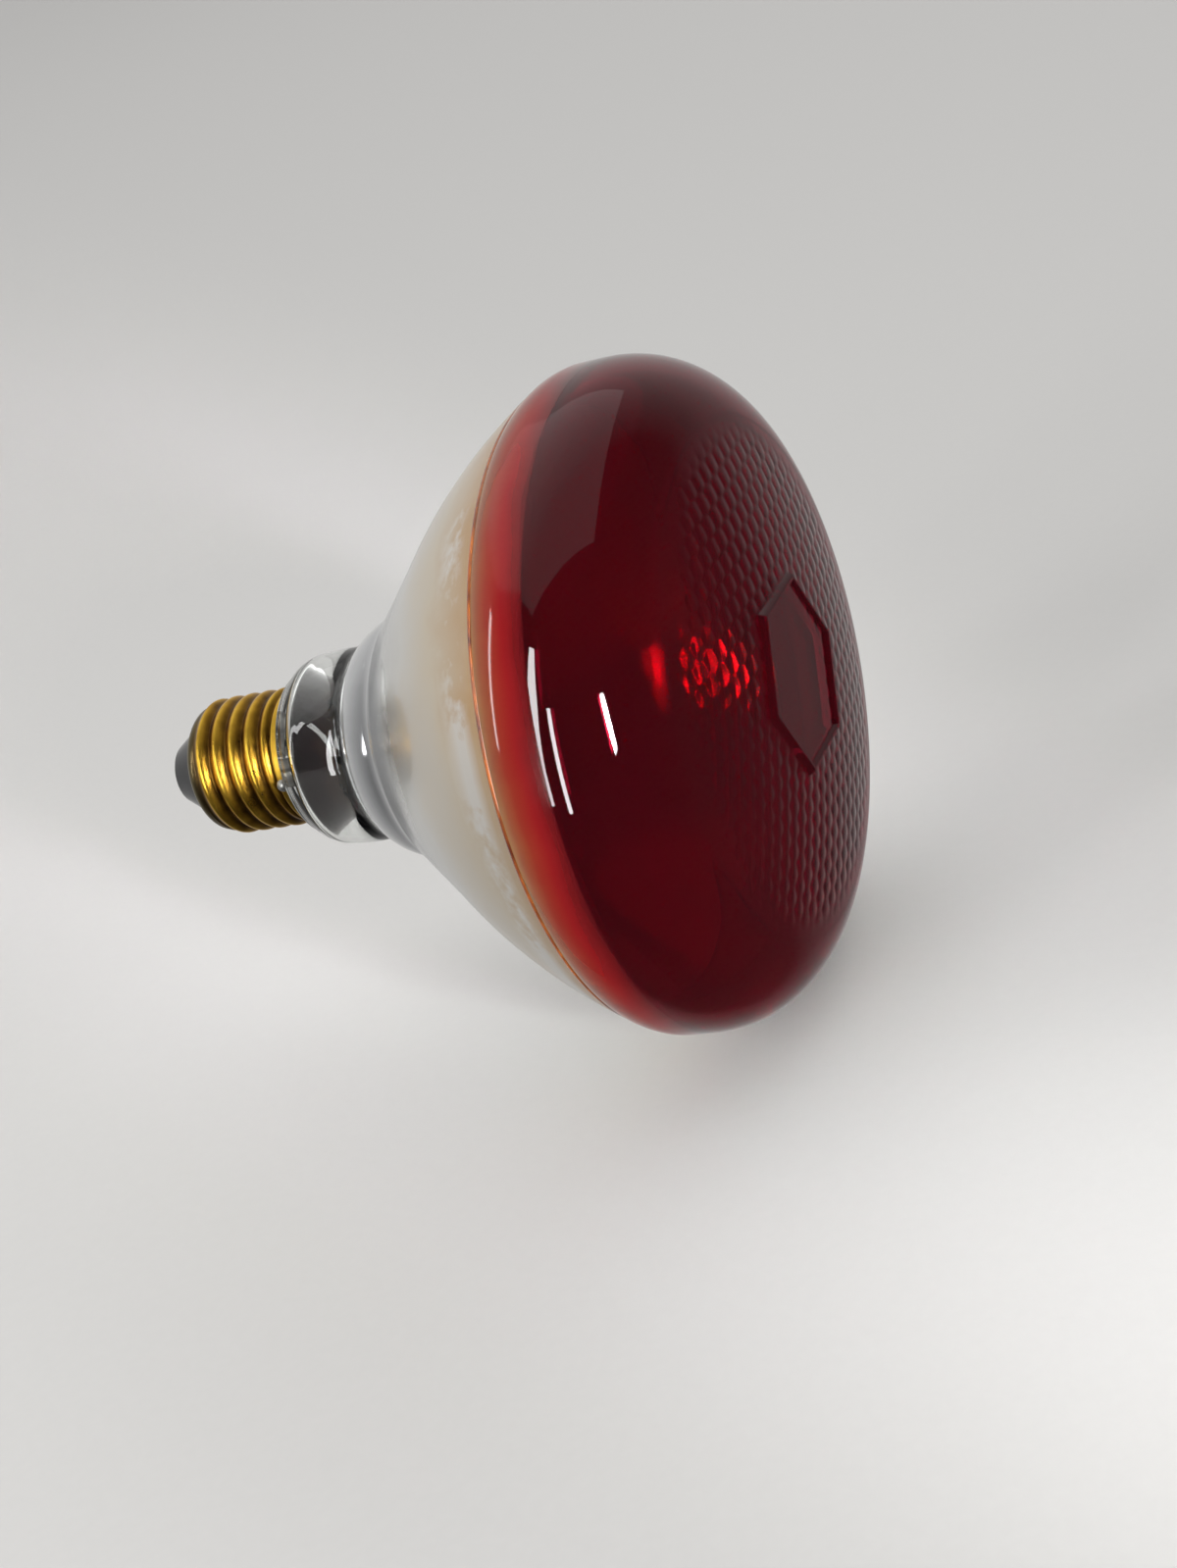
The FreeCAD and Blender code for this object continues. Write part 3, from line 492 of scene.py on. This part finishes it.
# height in mm, number of waves round the neck, phase
FILM_WAVES = [(0.35, 3, 0.6), (0.25, 7, 2.1), (0.12, 19, 0.0), (0.08, 41, 1.3)]
TORN_NOTCHES = 16


def film_edge(angle, notches):
    """How far along the barrel the dark film reaches at an angle: wavy, with torn notches."""
    waves = sum(height * math.sin(count * angle + phase) for height, count, phase in FILM_WAVES)
    torn = sum(depth * math.exp(-(math.remainder(angle - place, math.tau) / width) ** 2)
               for place, width, depth in notches)
    return film_high.x - (FILM_SHORTFALL - waves + torn) * MM


def film_side(depth, angles, edges):
    """The rings of one side of the film, at a depth inside the glass: from its inner edge on
    the base, round the corner and along the barrel to its torn front edge."""
    rows, corner_rows = 10, 6
    curve = NECK_CORNER - depth
    bend = film_low.x + NECK_CORNER
    corner_radius = BARREL_BORE - NECK_CORNER
    yield [around(film_low.x + depth, corner_radius - FILM_BASE_WIDTH, a) for a in angles]
    for k in range(corner_rows):
        lean = math.pi / 2 * k / corner_rows
        yield [around(bend - curve * math.cos(lean), corner_radius + curve * math.sin(lean), a)
               for a in angles]
    for k in range(rows + 1):
        yield [around(bend + (edge - bend) * k / rows, BARREL_BORE - depth, a)
               for a, edge in zip(angles, edges)]


def make_film():
    """Dark film on the inside of the neck, round its corner and on its base, with a ragged
    front edge."""
    rng = random.Random(4)
    # place and width as angles, depth in mm
    notches = [(rng.uniform(-math.pi, math.pi), rng.uniform(0.02, 0.06), rng.uniform(0.4, 1.5))
               for _ in range(TORN_NOTCHES)]
    count = 360
    angles = [math.tau * k / count for k in range(count)]
    edges = [film_edge(a, notches) for a in angles]
    outer = list(film_side(FILM_OUTER_DEPTH, angles, edges))
    inner = list(film_side(FILM_INNER_DEPTH, angles, edges))
    skin = Rings()
    for ring in outer + inner[::-1]:
        skin.ring(ring)
    skin.close()
    return mesh_piece("neck_film_patch", skin.verts, skin.faces, 60)


# ------------------------------------------------------------------ screw cap

def thread_radius(x, angle):
    """Outside radius of the rolled shell in its threaded stretch."""
    start = shell_low.x + 2.6 * MM
    finish = shell_high.x - SKIRT_LENGTH
    run_in, run_out, past_end = 1.2 * MM, 1.4 * MM, 0.6 * MM
    cover = smooth_step(x, start - run_in, start + run_in)
    cover *= 1 - smooth_step(x, finish - run_out, finish + past_end)
    phase = (x - start) / THREAD_PITCH - angle / math.tau
    fullness = 0.85  # below 1 the crests are fuller than the roots
    wave = (0.5 + 0.5 * math.cos(math.tau * phase)) ** fullness
    return THREAD_ROOT + (THREAD_CREST - THREAD_ROOT) * cover * wave


def make_shell():
    """Sheet brass rolled to a round thread, curled in at its end, with a plain skirt."""
    wall = 0.35 * MM
    bend = 2.2 * MM
    lip = 9.8 * MM
    end, mouth = shell_low.x, shell_high.x
    skirt = shell_high.z
    thread_end = mouth - SKIRT_LENGTH
    skirt_start = thread_end + 1.2 * MM
    count, rows = 160, 96
    angles = [math.tau * k / count for k in range(count)]
    stations = [end + bend + (thread_end - end - bend) * k / rows for k in range(1, rows + 1)]
    curl = outline([(end, lip), (end, THREAD_ROOT - bend), (end + bend, THREAD_ROOT, bend, -1)])
    mouth_turn = outline([
        (thread_end, THREAD_ROOT),
        (thread_end + 0.8 * MM, skirt - 0.1 * MM, 1.6 * MM, 1),
        (skirt_start, skirt, 0.6 * MM, -1),
        (mouth, skirt),
        (mouth, skirt - wall),
        (skirt_start, skirt - wall),
        (thread_end, THREAD_ROOT - wall),
    ])[1:]
    inner_curl = outline([
        (end + bend, THREAD_ROOT - wall),
        (end + wall, THREAD_ROOT - bend, bend - wall, 1),
        (end + wall, lip),
    ])
    skin = Rings()

    def plain(points):
        for point in points:
            skin.ring([around(point.x, point.y, a) for a in angles])

    def threaded(places, depth):
        for x in places:
            skin.ring([around(x, thread_radius(x, a) - depth, a) for a in angles])

    plain(curl)
    threaded(stations, 0)
    plain(mouth_turn)
    threaded(reversed(stations[:-1]), wall)
    plain(inner_curl)
    skin.close()
    return mesh_piece("rolled_shell", skin.verts, skin.faces, 50)


def make_coil():
    """The filament as the close coil of fine tungsten wire that it is."""
    wire = 0.13 * MM
    pitch = 0.42 * MM
    coil = (filament_high.z - filament_low.z) / 2 - wire
    middle = (filament_low + filament_high) / 2
    length = filament_high.y - filament_low.y
    per_turn, sides = 14, 6
    total = round(length / pitch * per_turn)
    verts, faces = [], []
    for k in range(total + 1):
        turn = math.tau * k / per_turn
        outward = Vector((math.cos(turn), 0, math.sin(turn)))
        centre = middle + outward * coil + Vector((0, filament_low.y + length * k / total, 0))
        for side in range(sides):
            lean = math.tau * side / sides
            across = outward * (wire * math.cos(lean))
            verts.append(centre + across + Vector((0, wire * math.sin(lean), 0)))
        if k:
            for side in range(sides):
                a, b = (k - 1) * sides + side, (k - 1) * sides + (side + 1) % sides
                faces.append((a, b, b + sides, a + sides))
    faces.append(tuple(range(sides)))
    faces.append(tuple(reversed(range(total * sides, (total + 1) * sides))))
    return mesh_piece("filament_coil", verts, faces, 60)


# ------------------------------------------------------------------ materials

def colour(code):
    """An sRGB hex colour as the linear RGBA that shaders use."""
    parts = [int(code[k:k + 2], 16) / 255 for k in (1, 3, 5)]
    linear = [p / 12.92 if p <= 0.04045 else ((p + 0.055) / 1.055) ** 2.4 for p in parts]
    return (*linear, 1.0)


def add(owner, kind, sockets=None, stops=None, **settings):
    """Adds one node. Each socket gets a value, or is linked when it is given another's output.
    stops are the places and colours of a colour ramp: the lowest, the highest, then the rest."""
    item = owner.node_tree.nodes.new(kind)
    for name, value in settings.items():
        setattr(item, name, value)
    for name, value in (sockets or {}).items():
        if isinstance(value, bpy.types.NodeSocket):
            owner.node_tree.links.new(value, item.inputs[name])
        else:
            item.inputs[name].default_value = value
    for index, (place, code) in enumerate(stops or []):
        elements = item.color_ramp.elements
        stop = elements[index] if index < 2 else elements.new(place)
        stop.position, stop.color = place, colour(code)
    return item


def blank_material(name):
    """A material with no nodes yet."""
    material = bpy.data.materials.new(name)
    material.use_nodes = True
    material.node_tree.nodes.clear()
    return material


def set_surface(material, shader):
    """Shows the shader on the material's surface."""
    add(material, "ShaderNodeOutputMaterial", {"Surface": shader.outputs[0]})
    return material


def ruby_pressed_glass():
    """Selenium ruby glass, hot pressed: a deep clear red with a hard fire-polished gloss and
    the faint ripple that the mould leaves."""
    m = blank_material("ruby_pressed_glass")
    spot = add(m, "ShaderNodeTexCoord").outputs["Object"]
    ripple = add(m, "ShaderNodeTexNoise", {"Vector": spot, "Scale": 1 / (9 * MM), "Detail": 2.0})
    bump = add(m, "ShaderNodeBump", {
        "Height": ripple.outputs["Fac"], "Strength": 0.35, "Distance": 0.05 * MM})
    shader = add(m, "ShaderNodeBsdfPrincipled", {
        "Base Color": colour("#7A0A1F"),
        "Roughness": 0.02,
        "IOR": 1.5,
        "Transmission Weight": 0.92,
        "Normal": bump.outputs["Normal"],
    })
    return set_surface(m, shader)


def ruby_rim_painted_glow():
    """The rim, where the ruby is thin and light from the silver behind shines back through. That glow
    is painted into its colour: orange-brown at the seal, turning red and then dark towards the
    shoulder, with painted highlight streaks."""
    m = blank_material("ruby_rim_painted_glow")
    spot = add(m, "ShaderNodeTexCoord").outputs["Object"]
    along = add(m, "ShaderNodeSeparateXYZ", {"Vector": spot}).outputs["X"]
    share = add(m, "ShaderNodeMapRange", {
        "Value": along, "From Min": LENS_BACK, "From Max": RIM_LAND_END})
    # noise that breaks the ramp into painted highlight streaks
    painted_streak = add(m, "ShaderNodeTexNoise", {"Vector": spot, "Scale": 1 / (11 * MM), "Detail": 3.0})
    mixed = add(m, "ShaderNodeMix", {
        "Factor": 0.2, "A": share.outputs["Result"], "B": painted_streak.outputs["Fac"]})
    # painted glow: orange-brown at the seal, red, then dark towards the shoulder
    tone = add(m, "ShaderNodeValToRGB", {"Fac": mixed.outputs["Result"]}, stops=[
        (0.08, "#A8702E"), (0.92, "#4A0A10"), (0.22, "#98502C"), (0.4, "#8E3022"), (0.62, "#84181A")])
    shader = add(m, "ShaderNodeBsdfPrincipled", {
        "Base Color": tone.outputs["Color"],
        "Roughness": 0.06,
        "IOR": 1.5,
        "Transmission Weight": 0.35,
    })
    return set_surface(m, shader)


def amber_seal_glass():
    """Fused sealing line: brown amber glass, glossy, uneven in tone where the flame met it."""
    m = blank_material("amber_seal_glass")
    spot = add(m, "ShaderNodeTexCoord").outputs["Object"]
    blotch = add(m, "ShaderNodeTexNoise", {"Vector": spot, "Scale": 1 / (6 * MM), "Detail": 3.0})
    tone = add(m, "ShaderNodeValToRGB", {"Fac": blotch.outputs["Fac"]},
               stops=[(0.3, "#5A2410"), (0.7, "#A85A20")])
    shader = add(m, "ShaderNodeBsdfPrincipled", {
        "Base Color": tone.outputs["Color"],
        "Roughness": 0.18,
        "Coat Weight": 0.6,
        "Coat Roughness": 0.05,
    })
    return set_surface(m, shader)


def silvered_pressed_glass():
    """Pressed borosilicate with an aluminium film behind it: bright on the collar and satin on the
    bell, where the mould's fine stipple blurs it. A slightly darker grey round the step is painted
    shade. It warms to beige near the red seam, and a broken band of painted white highlight runs just
    short of it. The stipple is drawn coarser than the real one, so that it shows, and a coarse grain
    breaks up the painted highlight."""
    m = blank_material("silvered_pressed_glass")
    spot = add(m, "ShaderNodeTexCoord").outputs["Object"]
    along = add(m, "ShaderNodeSeparateXYZ", {"Vector": spot}).outputs["X"]
    share = add(m, "ShaderNodeMapRange", {
        "Value": along, "From Min": COLLAR_START, "From Max": SEAM_STATION})
    cloud = add(m, "ShaderNodeTexNoise", {"Vector": spot, "Scale": 1 / (22 * MM), "Detail": 4.0})
    mixed = add(m, "ShaderNodeMix", {
        "Factor": 0.3, "A": share.outputs["Result"], "B": cloud.outputs["Fac"]})
    # the darker grey stop falls on the step: painted shade
    tone = add(m, "ShaderNodeValToRGB", {"Fac": mixed.outputs["Result"]}, stops=[
        (0.15, "#D0D2D4"), (0.86, "#C8A47A"), (0.3, "#B4B5B7"), (0.5, "#D2D0CB"), (0.7, "#D6C9B4")])
    # painted highlight: a broken white band just short of the seam
    near_seam = add(m, "ShaderNodeValToRGB", {"Fac": share.outputs["Result"]}, stops=[
        (0.8, "#000000"), (0.97, "#000000"), (0.88, "#FFFFFF"), (0.92, "#FFFFFF")])
    spread = add(m, "ShaderNodeTexNoise", {"Vector": spot, "Scale": 1 / (40 * MM), "Detail": 1.0})
    grain = add(m, "ShaderNodeTexNoise", {"Vector": spot, "Scale": 1 / (2.5 * MM), "Detail": 4.0})
    broken = add(m, "ShaderNodeMath", {0: grain.outputs["Fac"], 1: 0.35, 2: spread.outputs["Fac"]},
                 operation="MULTIPLY_ADD")
    patch = add(m, "ShaderNodeMapRange", {
        "Value": broken.outputs["Value"], "From Min": 0.63, "From Max": 0.73, "To Max": 0.75})
    seam_highlight = add(m, "ShaderNodeMath", {0: near_seam.outputs["Color"], 1: patch.outputs["Result"]},
                operation="MULTIPLY")
    seam_highlighted = add(m, "ShaderNodeMix", {
        "Factor": seam_highlight.outputs["Value"], "A": tone.outputs["Color"], "B": colour("#E6E5E2")},
        data_type="RGBA")
    gloss = add(m, "ShaderNodeMapRange", {
        "Value": share.outputs["Result"], "From Min": 0.16, "From Max": 0.5,
        "To Min": 0.1, "To Max": 0.36})
    stipple = add(m, "ShaderNodeTexNoise", {"Vector": spot, "Scale": 1 / (0.9 * MM), "Detail": 2.0})
    bump = add(m, "ShaderNodeBump", {
        "Height": stipple.outputs["Fac"], "Strength": 0.25, "Distance": 0.03 * MM})
    shader = add(m, "ShaderNodeBsdfPrincipled", {
        "Base Color": seam_highlighted.outputs["Result"],
        "Metallic": 0.85,
        "Roughness": gloss.outputs["Result"],
        "Coat Weight": 0.6,
        "Coat Roughness": 0.08,
        "Coat IOR": 1.47,
        "Normal": bump.outputs["Normal"],
    })
    return set_surface(m, shader)


def clear_pressed_glass():
    """Pressed borosilicate: colourless, glossy, with slight waves from the mould."""
    m = blank_material("clear_pressed_glass")
    spot = add(m, "ShaderNodeTexCoord").outputs["Object"]
    wave = add(m, "ShaderNodeTexNoise", {"Vector": spot, "Scale": 1 / (5 * MM), "Detail": 2.0})
    bump = add(m, "ShaderNodeBump", {
        "Height": wave.outputs["Fac"], "Strength": 0.3, "Distance": 0.04 * MM})
    shader = add(m, "ShaderNodeBsdfPrincipled", {
        "Base Color": colour("#F4F6F4"),
        "Roughness": 0.02,
        "IOR": 1.47,
        "Transmission Weight": 1.0,
        "Normal": bump.outputs["Normal"],
    })
    return set_surface(m, shader)


def evaporated_aluminium():
    """Aluminium film evaporated in vacuum: a bright mirror with a very slight haze."""
    m = blank_material("evaporated_aluminium")
    spot = add(m, "ShaderNodeTexCoord").outputs["Object"]
    haze = add(m, "ShaderNodeTexNoise", {"Vector": spot, "Scale": 1 / (12 * MM), "Detail": 3.0})
    blur = add(m, "ShaderNodeMapRange", {"Value": haze.outputs["Fac"], "To Min": 0.05, "To Max": 0.16})
    shader = add(m, "ShaderNodeBsdfPrincipled", {
        "Base Color": colour("#E9E9E6"),
        "Metallic": 1.0,
        "Roughness": blur.outputs["Result"],
    })
    return set_surface(m, shader)


def smoked_film():
    """Metal vapour and smoke baked on the neck's inside: dark grey-brown with a dull sheen,
    browner and thinner towards its torn edge."""
    m = blank_material("smoked_film")
    spot = add(m, "ShaderNodeTexCoord").outputs["Object"]
    along = add(m, "ShaderNodeSeparateXYZ", {"Vector": spot}).outputs["X"]
    share = add(m, "ShaderNodeMapRange", {
        "Value": along, "From Min": film_low.x, "From Max": film_high.x})
    cloud = add(m, "ShaderNodeTexNoise", {"Vector": spot, "Scale": 1 / (4 * MM), "Detail": 4.0})
    mixed = add(m, "ShaderNodeMix", {
        "Factor": 0.4, "A": share.outputs["Result"], "B": cloud.outputs["Fac"]})
    tone = add(m, "ShaderNodeValToRGB", {"Fac": mixed.outputs["Result"]}, stops=[
        (0.15, "#1C1516"), (0.9, "#5A3E28"), (0.55, "#2A2022"), (0.75, "#3C2C26")])
    shader = add(m, "ShaderNodeBsdfPrincipled", {
        "Base Color": tone.outputs["Color"],
        "Roughness": 0.6,
        "Specular IOR Level": 0.2,
    })
    return set_surface(m, shader)


def rolled_brass():
    """Rolled sheet brass, lacquer gone: bright yellow gold on the crests, dark brown in the roots,
    greyer at the curled end. The crests' gold is partly wear where sockets rub and partly painted
    highlight; the roots' brown is partly tarnish and partly painted shade. The scratches are drawn
    coarser than the real ones, so that they show."""
    m = blank_material("rolled_brass")
    spot = add(m, "ShaderNodeTexCoord").outputs["Object"]
    parts = add(m, "ShaderNodeSeparateXYZ", {"Vector": spot})
    flat = add(m, "ShaderNodeCombineXYZ", {"Y": parts.outputs["Y"], "Z": parts.outputs["Z"]})
    reach = add(m, "ShaderNodeVectorMath", {0: flat.outputs["Vector"]}, operation="LENGTH")
    depth = add(m, "ShaderNodeMapRange", {
        "Value": reach.outputs["Value"], "From Min": THREAD_ROOT, "From Max": THREAD_CREST})
    stain = add(m, "ShaderNodeTexNoise", {"Vector": spot, "Scale": 1 / (3 * MM), "Detail": 5.0})
    mixed = add(m, "ShaderNodeMix", {
        "Factor": 0.45, "A": depth.outputs["Result"], "B": stain.outputs["Fac"]})
    # root to crest: painted shade in the roots and painted highlight on the crests, mixed with real
    # tarnish and wear
    tone = add(m, "ShaderNodeValToRGB", {"Fac": mixed.outputs["Result"]}, stops=[
        (0.2, "#5A3E18"), (0.85, "#F0C246"), (0.4, "#8C6622"), (0.62, "#C69632")])
    end = add(m, "ShaderNodeMapRange", {
        "Value": parts.outputs["X"],
        "From Min": shell_low.x + 1.2 * MM, "From Max": shell_low.x + 3.4 * MM,
        "To Min": 1.0, "To Max": 0.0})
    greyed = add(m, "ShaderNodeMix", {
        "Factor": end.outputs["Result"], "A": tone.outputs["Color"], "B": colour("#6E6448")},
        data_type="RGBA")
    blur = add(m, "ShaderNodeMapRange", {"Value": stain.outputs["Fac"], "To Min": 0.2, "To Max": 0.42})
    scratch = add(m, "ShaderNodeTexNoise", {"Vector": spot, "Scale": 1 / (0.7 * MM), "Detail": 3.0})
    bump = add(m, "ShaderNodeBump", {
        "Height": scratch.outputs["Fac"], "Strength": 0.2, "Distance": 0.03 * MM})
    shader = add(m, "ShaderNodeBsdfPrincipled", {
        "Base Color": greyed.outputs["Result"],
        "Metallic": 1.0,
        "Roughness": blur.outputs["Result"],
        "Normal": bump.outputs["Normal"],
    })
    return set_surface(m, shader)


def mottled(name, dark, light, grain, metallic, roughness, relief):
    """A finish with an uneven tone and a fine relief, for the small fittings. Its gloss varies
    by a quarter either way."""
    m = blank_material(name)
    spot = add(m, "ShaderNodeTexCoord").outputs["Object"]
    blotch = add(m, "ShaderNodeTexNoise", {"Vector": spot, "Scale": 1 / grain, "Detail": 4.0})
    tone = add(m, "ShaderNodeValToRGB", {"Fac": blotch.outputs["Fac"]},
               stops=[(0.3, dark), (0.7, light)])
    blur = add(m, "ShaderNodeMapRange", {
        "Value": blotch.outputs["Fac"], "To Min": roughness * 0.75, "To Max": roughness * 1.25})
    bump = add(m, "ShaderNodeBump", {
        "Height": blotch.outputs["Fac"], "Strength": 0.3, "Distance": relief})
    shader = add(m, "ShaderNodeBsdfPrincipled", {
        "Base Color": tone.outputs["Color"],
        "Metallic": metallic,
        "Roughness": blur.outputs["Result"],
        "Normal": bump.outputs["Normal"],
    })
    return set_surface(m, shader)


FITTINGS = {
    # finish: (dark, light, grain, metallic, roughness, relief, nodes)

    # Black opaque glass, moulded in the cap: near black with a wet gloss.
    "black_lamp_glass": (
        "#08080A", "#16161A", 3 * MM, 0.0, 0.12, 0.05 * MM, ["cap_insulator"]),
    # Brass stamped from sheet and rubbed by the holder's tongue: yellow with soft brown stains.
    "stamped_brass": (
        "#9A7428", "#D8B050", 1.5 * MM, 1.0, 0.3, 0.02 * MM, ["centre_contact"]),
    # Tin-lead solder, set from a drop: dull grey, with a faint orange-peel skin.
    "tin_lead_solder": (
        "#8A8A86", "#C0C0BC", 0.8 * MM, 0.9, 0.35, 0.06 * MM, ["contact_solder", "side_solder"]),
    # Resin cement baked in the cap: matt, grainy and tan.
    "baked_cement": (
        "#6E5A44", "#8C7658", 0.8 * MM, 0.0, 0.85, 0.05 * MM, ["basing_cement"]),
    # Nickel-iron cups, drawn from sheet: grey, satin, slightly warm.
    "drawn_nickel_iron": (
        "#8A8882", "#AFADA6", 2 * MM, 1.0, 0.3, 0.01 * MM, ["live_ferrule", "neutral_ferrule"]),
    # Nickel wire and sleeves: warm grey with a clean drawn shine.
    "drawn_nickel": (
        "#A09C92", "#C4C0B4", 1 * MM, 1.0, 0.25, 0.01 * MM,
        ["live_lead", "neutral_lead", "live_post", "neutral_post", "live_clamp", "neutral_clamp"]),
    # Molybdenum wire: cold dark grey with a drawn shine.
    "drawn_molybdenum": (
        "#70727A", "#8E9098", 0.5 * MM, 1.0, 0.3, 0.01 * MM,
        ["live_hook", "middle_hook", "neutral_hook"]),
}


def give(piece, material):
    """Makes a material the only one on a piece."""
    piece.data.materials.clear()
    piece.data.materials.append(material)


def finish_nodes(clear_glass):
    """Gives each CAD node that shows its own finish."""
    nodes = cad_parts
    for name, (dark, light, grain, metallic, roughness, relief, members) in FITTINGS.items():
        material = mottled(name, dark, light, grain, metallic, roughness, relief)
        for member in members:
            give(nodes[member], material)
    for member in ("exhaust_stub", "fuse_sleeve", "bridge_bead"):
        give(nodes[member], clear_glass)


def add_piece(piece, material, node):
    """Puts a made piece in the place of a CAD node."""
    give(piece, material)
    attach(piece, "root")
    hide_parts(node)


def make_lamp():
    """Every piece of the lamp with its finish."""
    clear_glass = clear_pressed_glass()
    add_piece(make_lens(), ruby_pressed_glass(), "lens")
    add_piece(make_rim(), ruby_rim_painted_glow(), "lens")
    add_piece(make_seal(), amber_seal_glass(), "rim_seal")
    add_piece(make_neck(), clear_glass, "reflector_glass")
    add_piece(make_bell(), silvered_pressed_glass(), "reflector_glass")
    add_piece(make_coat(), evaporated_aluminium(), "mirror_coat")
    add_piece(make_film(), smoked_film(), "neck_film")
    add_piece(make_shell(), rolled_brass(), "screw_shell")
    # Tungsten wire, coiled and flashed: dark steel grey, hardly shiny.
    tungsten = mottled("coiled_tungsten", "#3A3A40", "#56565E", 0.5 * MM, 1.0, 0.35, 0.005 * MM)
    add_piece(make_coil(), tungsten, "filament")
    finish_nodes(clear_glass)


# ------------------------------------------------------------------ studio

def make_floor():
    """A plain pale painted board under the lamp, kept out of what the glass reflects."""
    half = 12.0
    hairline = 0.2 * MM
    level = cad_low.z - hairline
    mesh = bpy.data.meshes.new("floor")
    mesh.from_pydata([(-half, -half, level), (half, -half, level), (half, half, level),
                      (-half, half, level)], [], [(0, 1, 2, 3)])
    floor = bpy.data.objects.new("floor", mesh)
    bpy.context.scene.collection.objects.link(floor)
    # Matt white emulsion, rolled on: pale, even and without gloss.
    give(floor, mottled("matt_white_board", "#CFCECC", "#D1D0CE", 2 * MM, 0.0, 0.8, 0.005 * MM))
    floor.visible_glossy = False


def place_light(name, kind, azimuth, elevation, distance, power, **settings):
    """A studio light that faces the lamp. Azimuth runs from +X towards +Y."""
    light = bpy.data.lights.new(name, kind)
    light.energy = power
    for setting, value in settings.items():
        setattr(light, setting, value)
    holder = bpy.data.objects.new(name, light)
    bpy.context.scene.collection.objects.link(holder)
    turn, rise = math.radians(azimuth), math.radians(elevation)
    level = math.cos(rise)
    way = Vector((math.cos(turn) * level, math.sin(turn) * level, math.sin(rise)))
    holder.location = Vector((RIM_LAND_START, 0, 0)) + way * distance
    holder.rotation_euler = way.to_track_quat("Z", "Y").to_euler()
    return holder


def softbox(name, azimuth, elevation, distance, width, height, power, spread=180):
    """A flat diffuser panel. A small spread, in degrees, keeps its light off the floor."""
    place_light(name, "AREA", azimuth, elevation, distance, power, shape="RECTANGLE",
                size=width, size_y=height, spread=math.radians(spread))


def make_world():
    """A pale surround behind the lamp. What the glass reflects is a room that is light behind
    the lamp, on the cap's side, and dim in front of the lens."""
    world = bpy.data.worlds.new("studio")
    world.use_nodes = True
    world.node_tree.nodes.clear()
    bpy.context.scene.world = world
    way = add(world, "ShaderNodeTexCoord")
    turn, lift = math.radians(138), 0.15
    light_side = (math.cos(turn), math.sin(turn), lift)
    facing = add(world, "ShaderNodeVectorMath", {0: way.outputs["Generated"], 1: light_side},
                 operation="DOT_PRODUCT")
    room = add(world, "ShaderNodeValToRGB", {"Fac": facing.outputs["Value"]}, stops=[
        (0.1, "#3A393B"), (0.95, "#CFCECC")])
    behind = add(world, "ShaderNodeBackground", {"Color": colour("#B8B7B5"), "Strength": 1.0})
    seen = add(world, "ShaderNodeBackground", {"Color": room.outputs["Color"], "Strength": 1.0})
    path = add(world, "ShaderNodeLightPath")
    mix = add(world, "ShaderNodeMixShader", {
        "Fac": path.outputs["Is Camera Ray"], 1: seen.outputs[0], 2: behind.outputs[0]})
    add(world, "ShaderNodeOutputWorld", {"Surface": mix.outputs[0]})


def make_camera():
    """A camera half a metre away. The lamp's axis points past it to the right and rises a
    little across the picture."""
    away = math.radians(66.56)
    rise = math.radians(9.3)
    round_axis = math.radians(22.8)
    rim_centre = Vector((RIM_LAND_START, 0, 0))
    rim_in_view = Vector((12.56, 15.67, -490)) * MM
    sight = rim_in_view.normalized()
    right = (Vector((1, 0, 0)) - sight * sight.x).normalized()
    up = right.cross(sight)
    axis = right * (math.sin(away) * math.cos(rise)) + up * (math.sin(away) * math.sin(rise))
    axis -= sight * math.cos(away)
    above = (-sight).cross(axis).normalized()
    seen = Matrix((axis, above, axis.cross(above))).transposed()
    lamp_axis = Vector((1, 0, 0))
    lamp_above = Vector((0, math.sin(round_axis), math.cos(round_axis)))
    lamp = Matrix((lamp_axis, lamp_above, lamp_axis.cross(lamp_above))).transposed()
    turn = lamp @ seen.transposed()
    data = bpy.data.cameras.new("camera")
    data.sensor_width = 36
    data.lens = 63.06
    camera = bpy.data.objects.new("camera", data)
    bpy.context.scene.collection.objects.link(camera)
    camera.matrix_world = Matrix.Translation(rim_centre - turn @ rim_in_view) @ turn.to_4x4()
    bpy.context.scene.camera = camera


def make_studio():
    """Tall windows at the lens's left, a small panel that lights the inside through the lens,
    a wide ceiling, and even daylight that only matt surfaces show."""
    bpy.context.scene.view_settings.view_transform = "Standard"
    make_floor()
    make_world()
    make_camera()
    softbox("narrow_window", -112, 18, distance=1.1, width=0.09, height=0.95, power=4.2)
    softbox("second_window", -98, 8, distance=1.2, width=0.08, height=0.7, power=3.5)
    softbox("left_window", -150, 24, distance=0.9, width=0.07, height=0.6, power=1.2)
    softbox("front_panel", -42, 10, distance=0.75, width=0.05, height=0.3, power=0.28, spread=18)
    softbox("ceiling", 120, 78, distance=2.4, width=3.6, height=3.6, power=13)
    daylight = place_light("even_daylight", "SUN", 110, 72, distance=3, power=1.6,
                           angle=math.radians(100))
    daylight.visible_glossy = False


make_lamp()
make_studio()
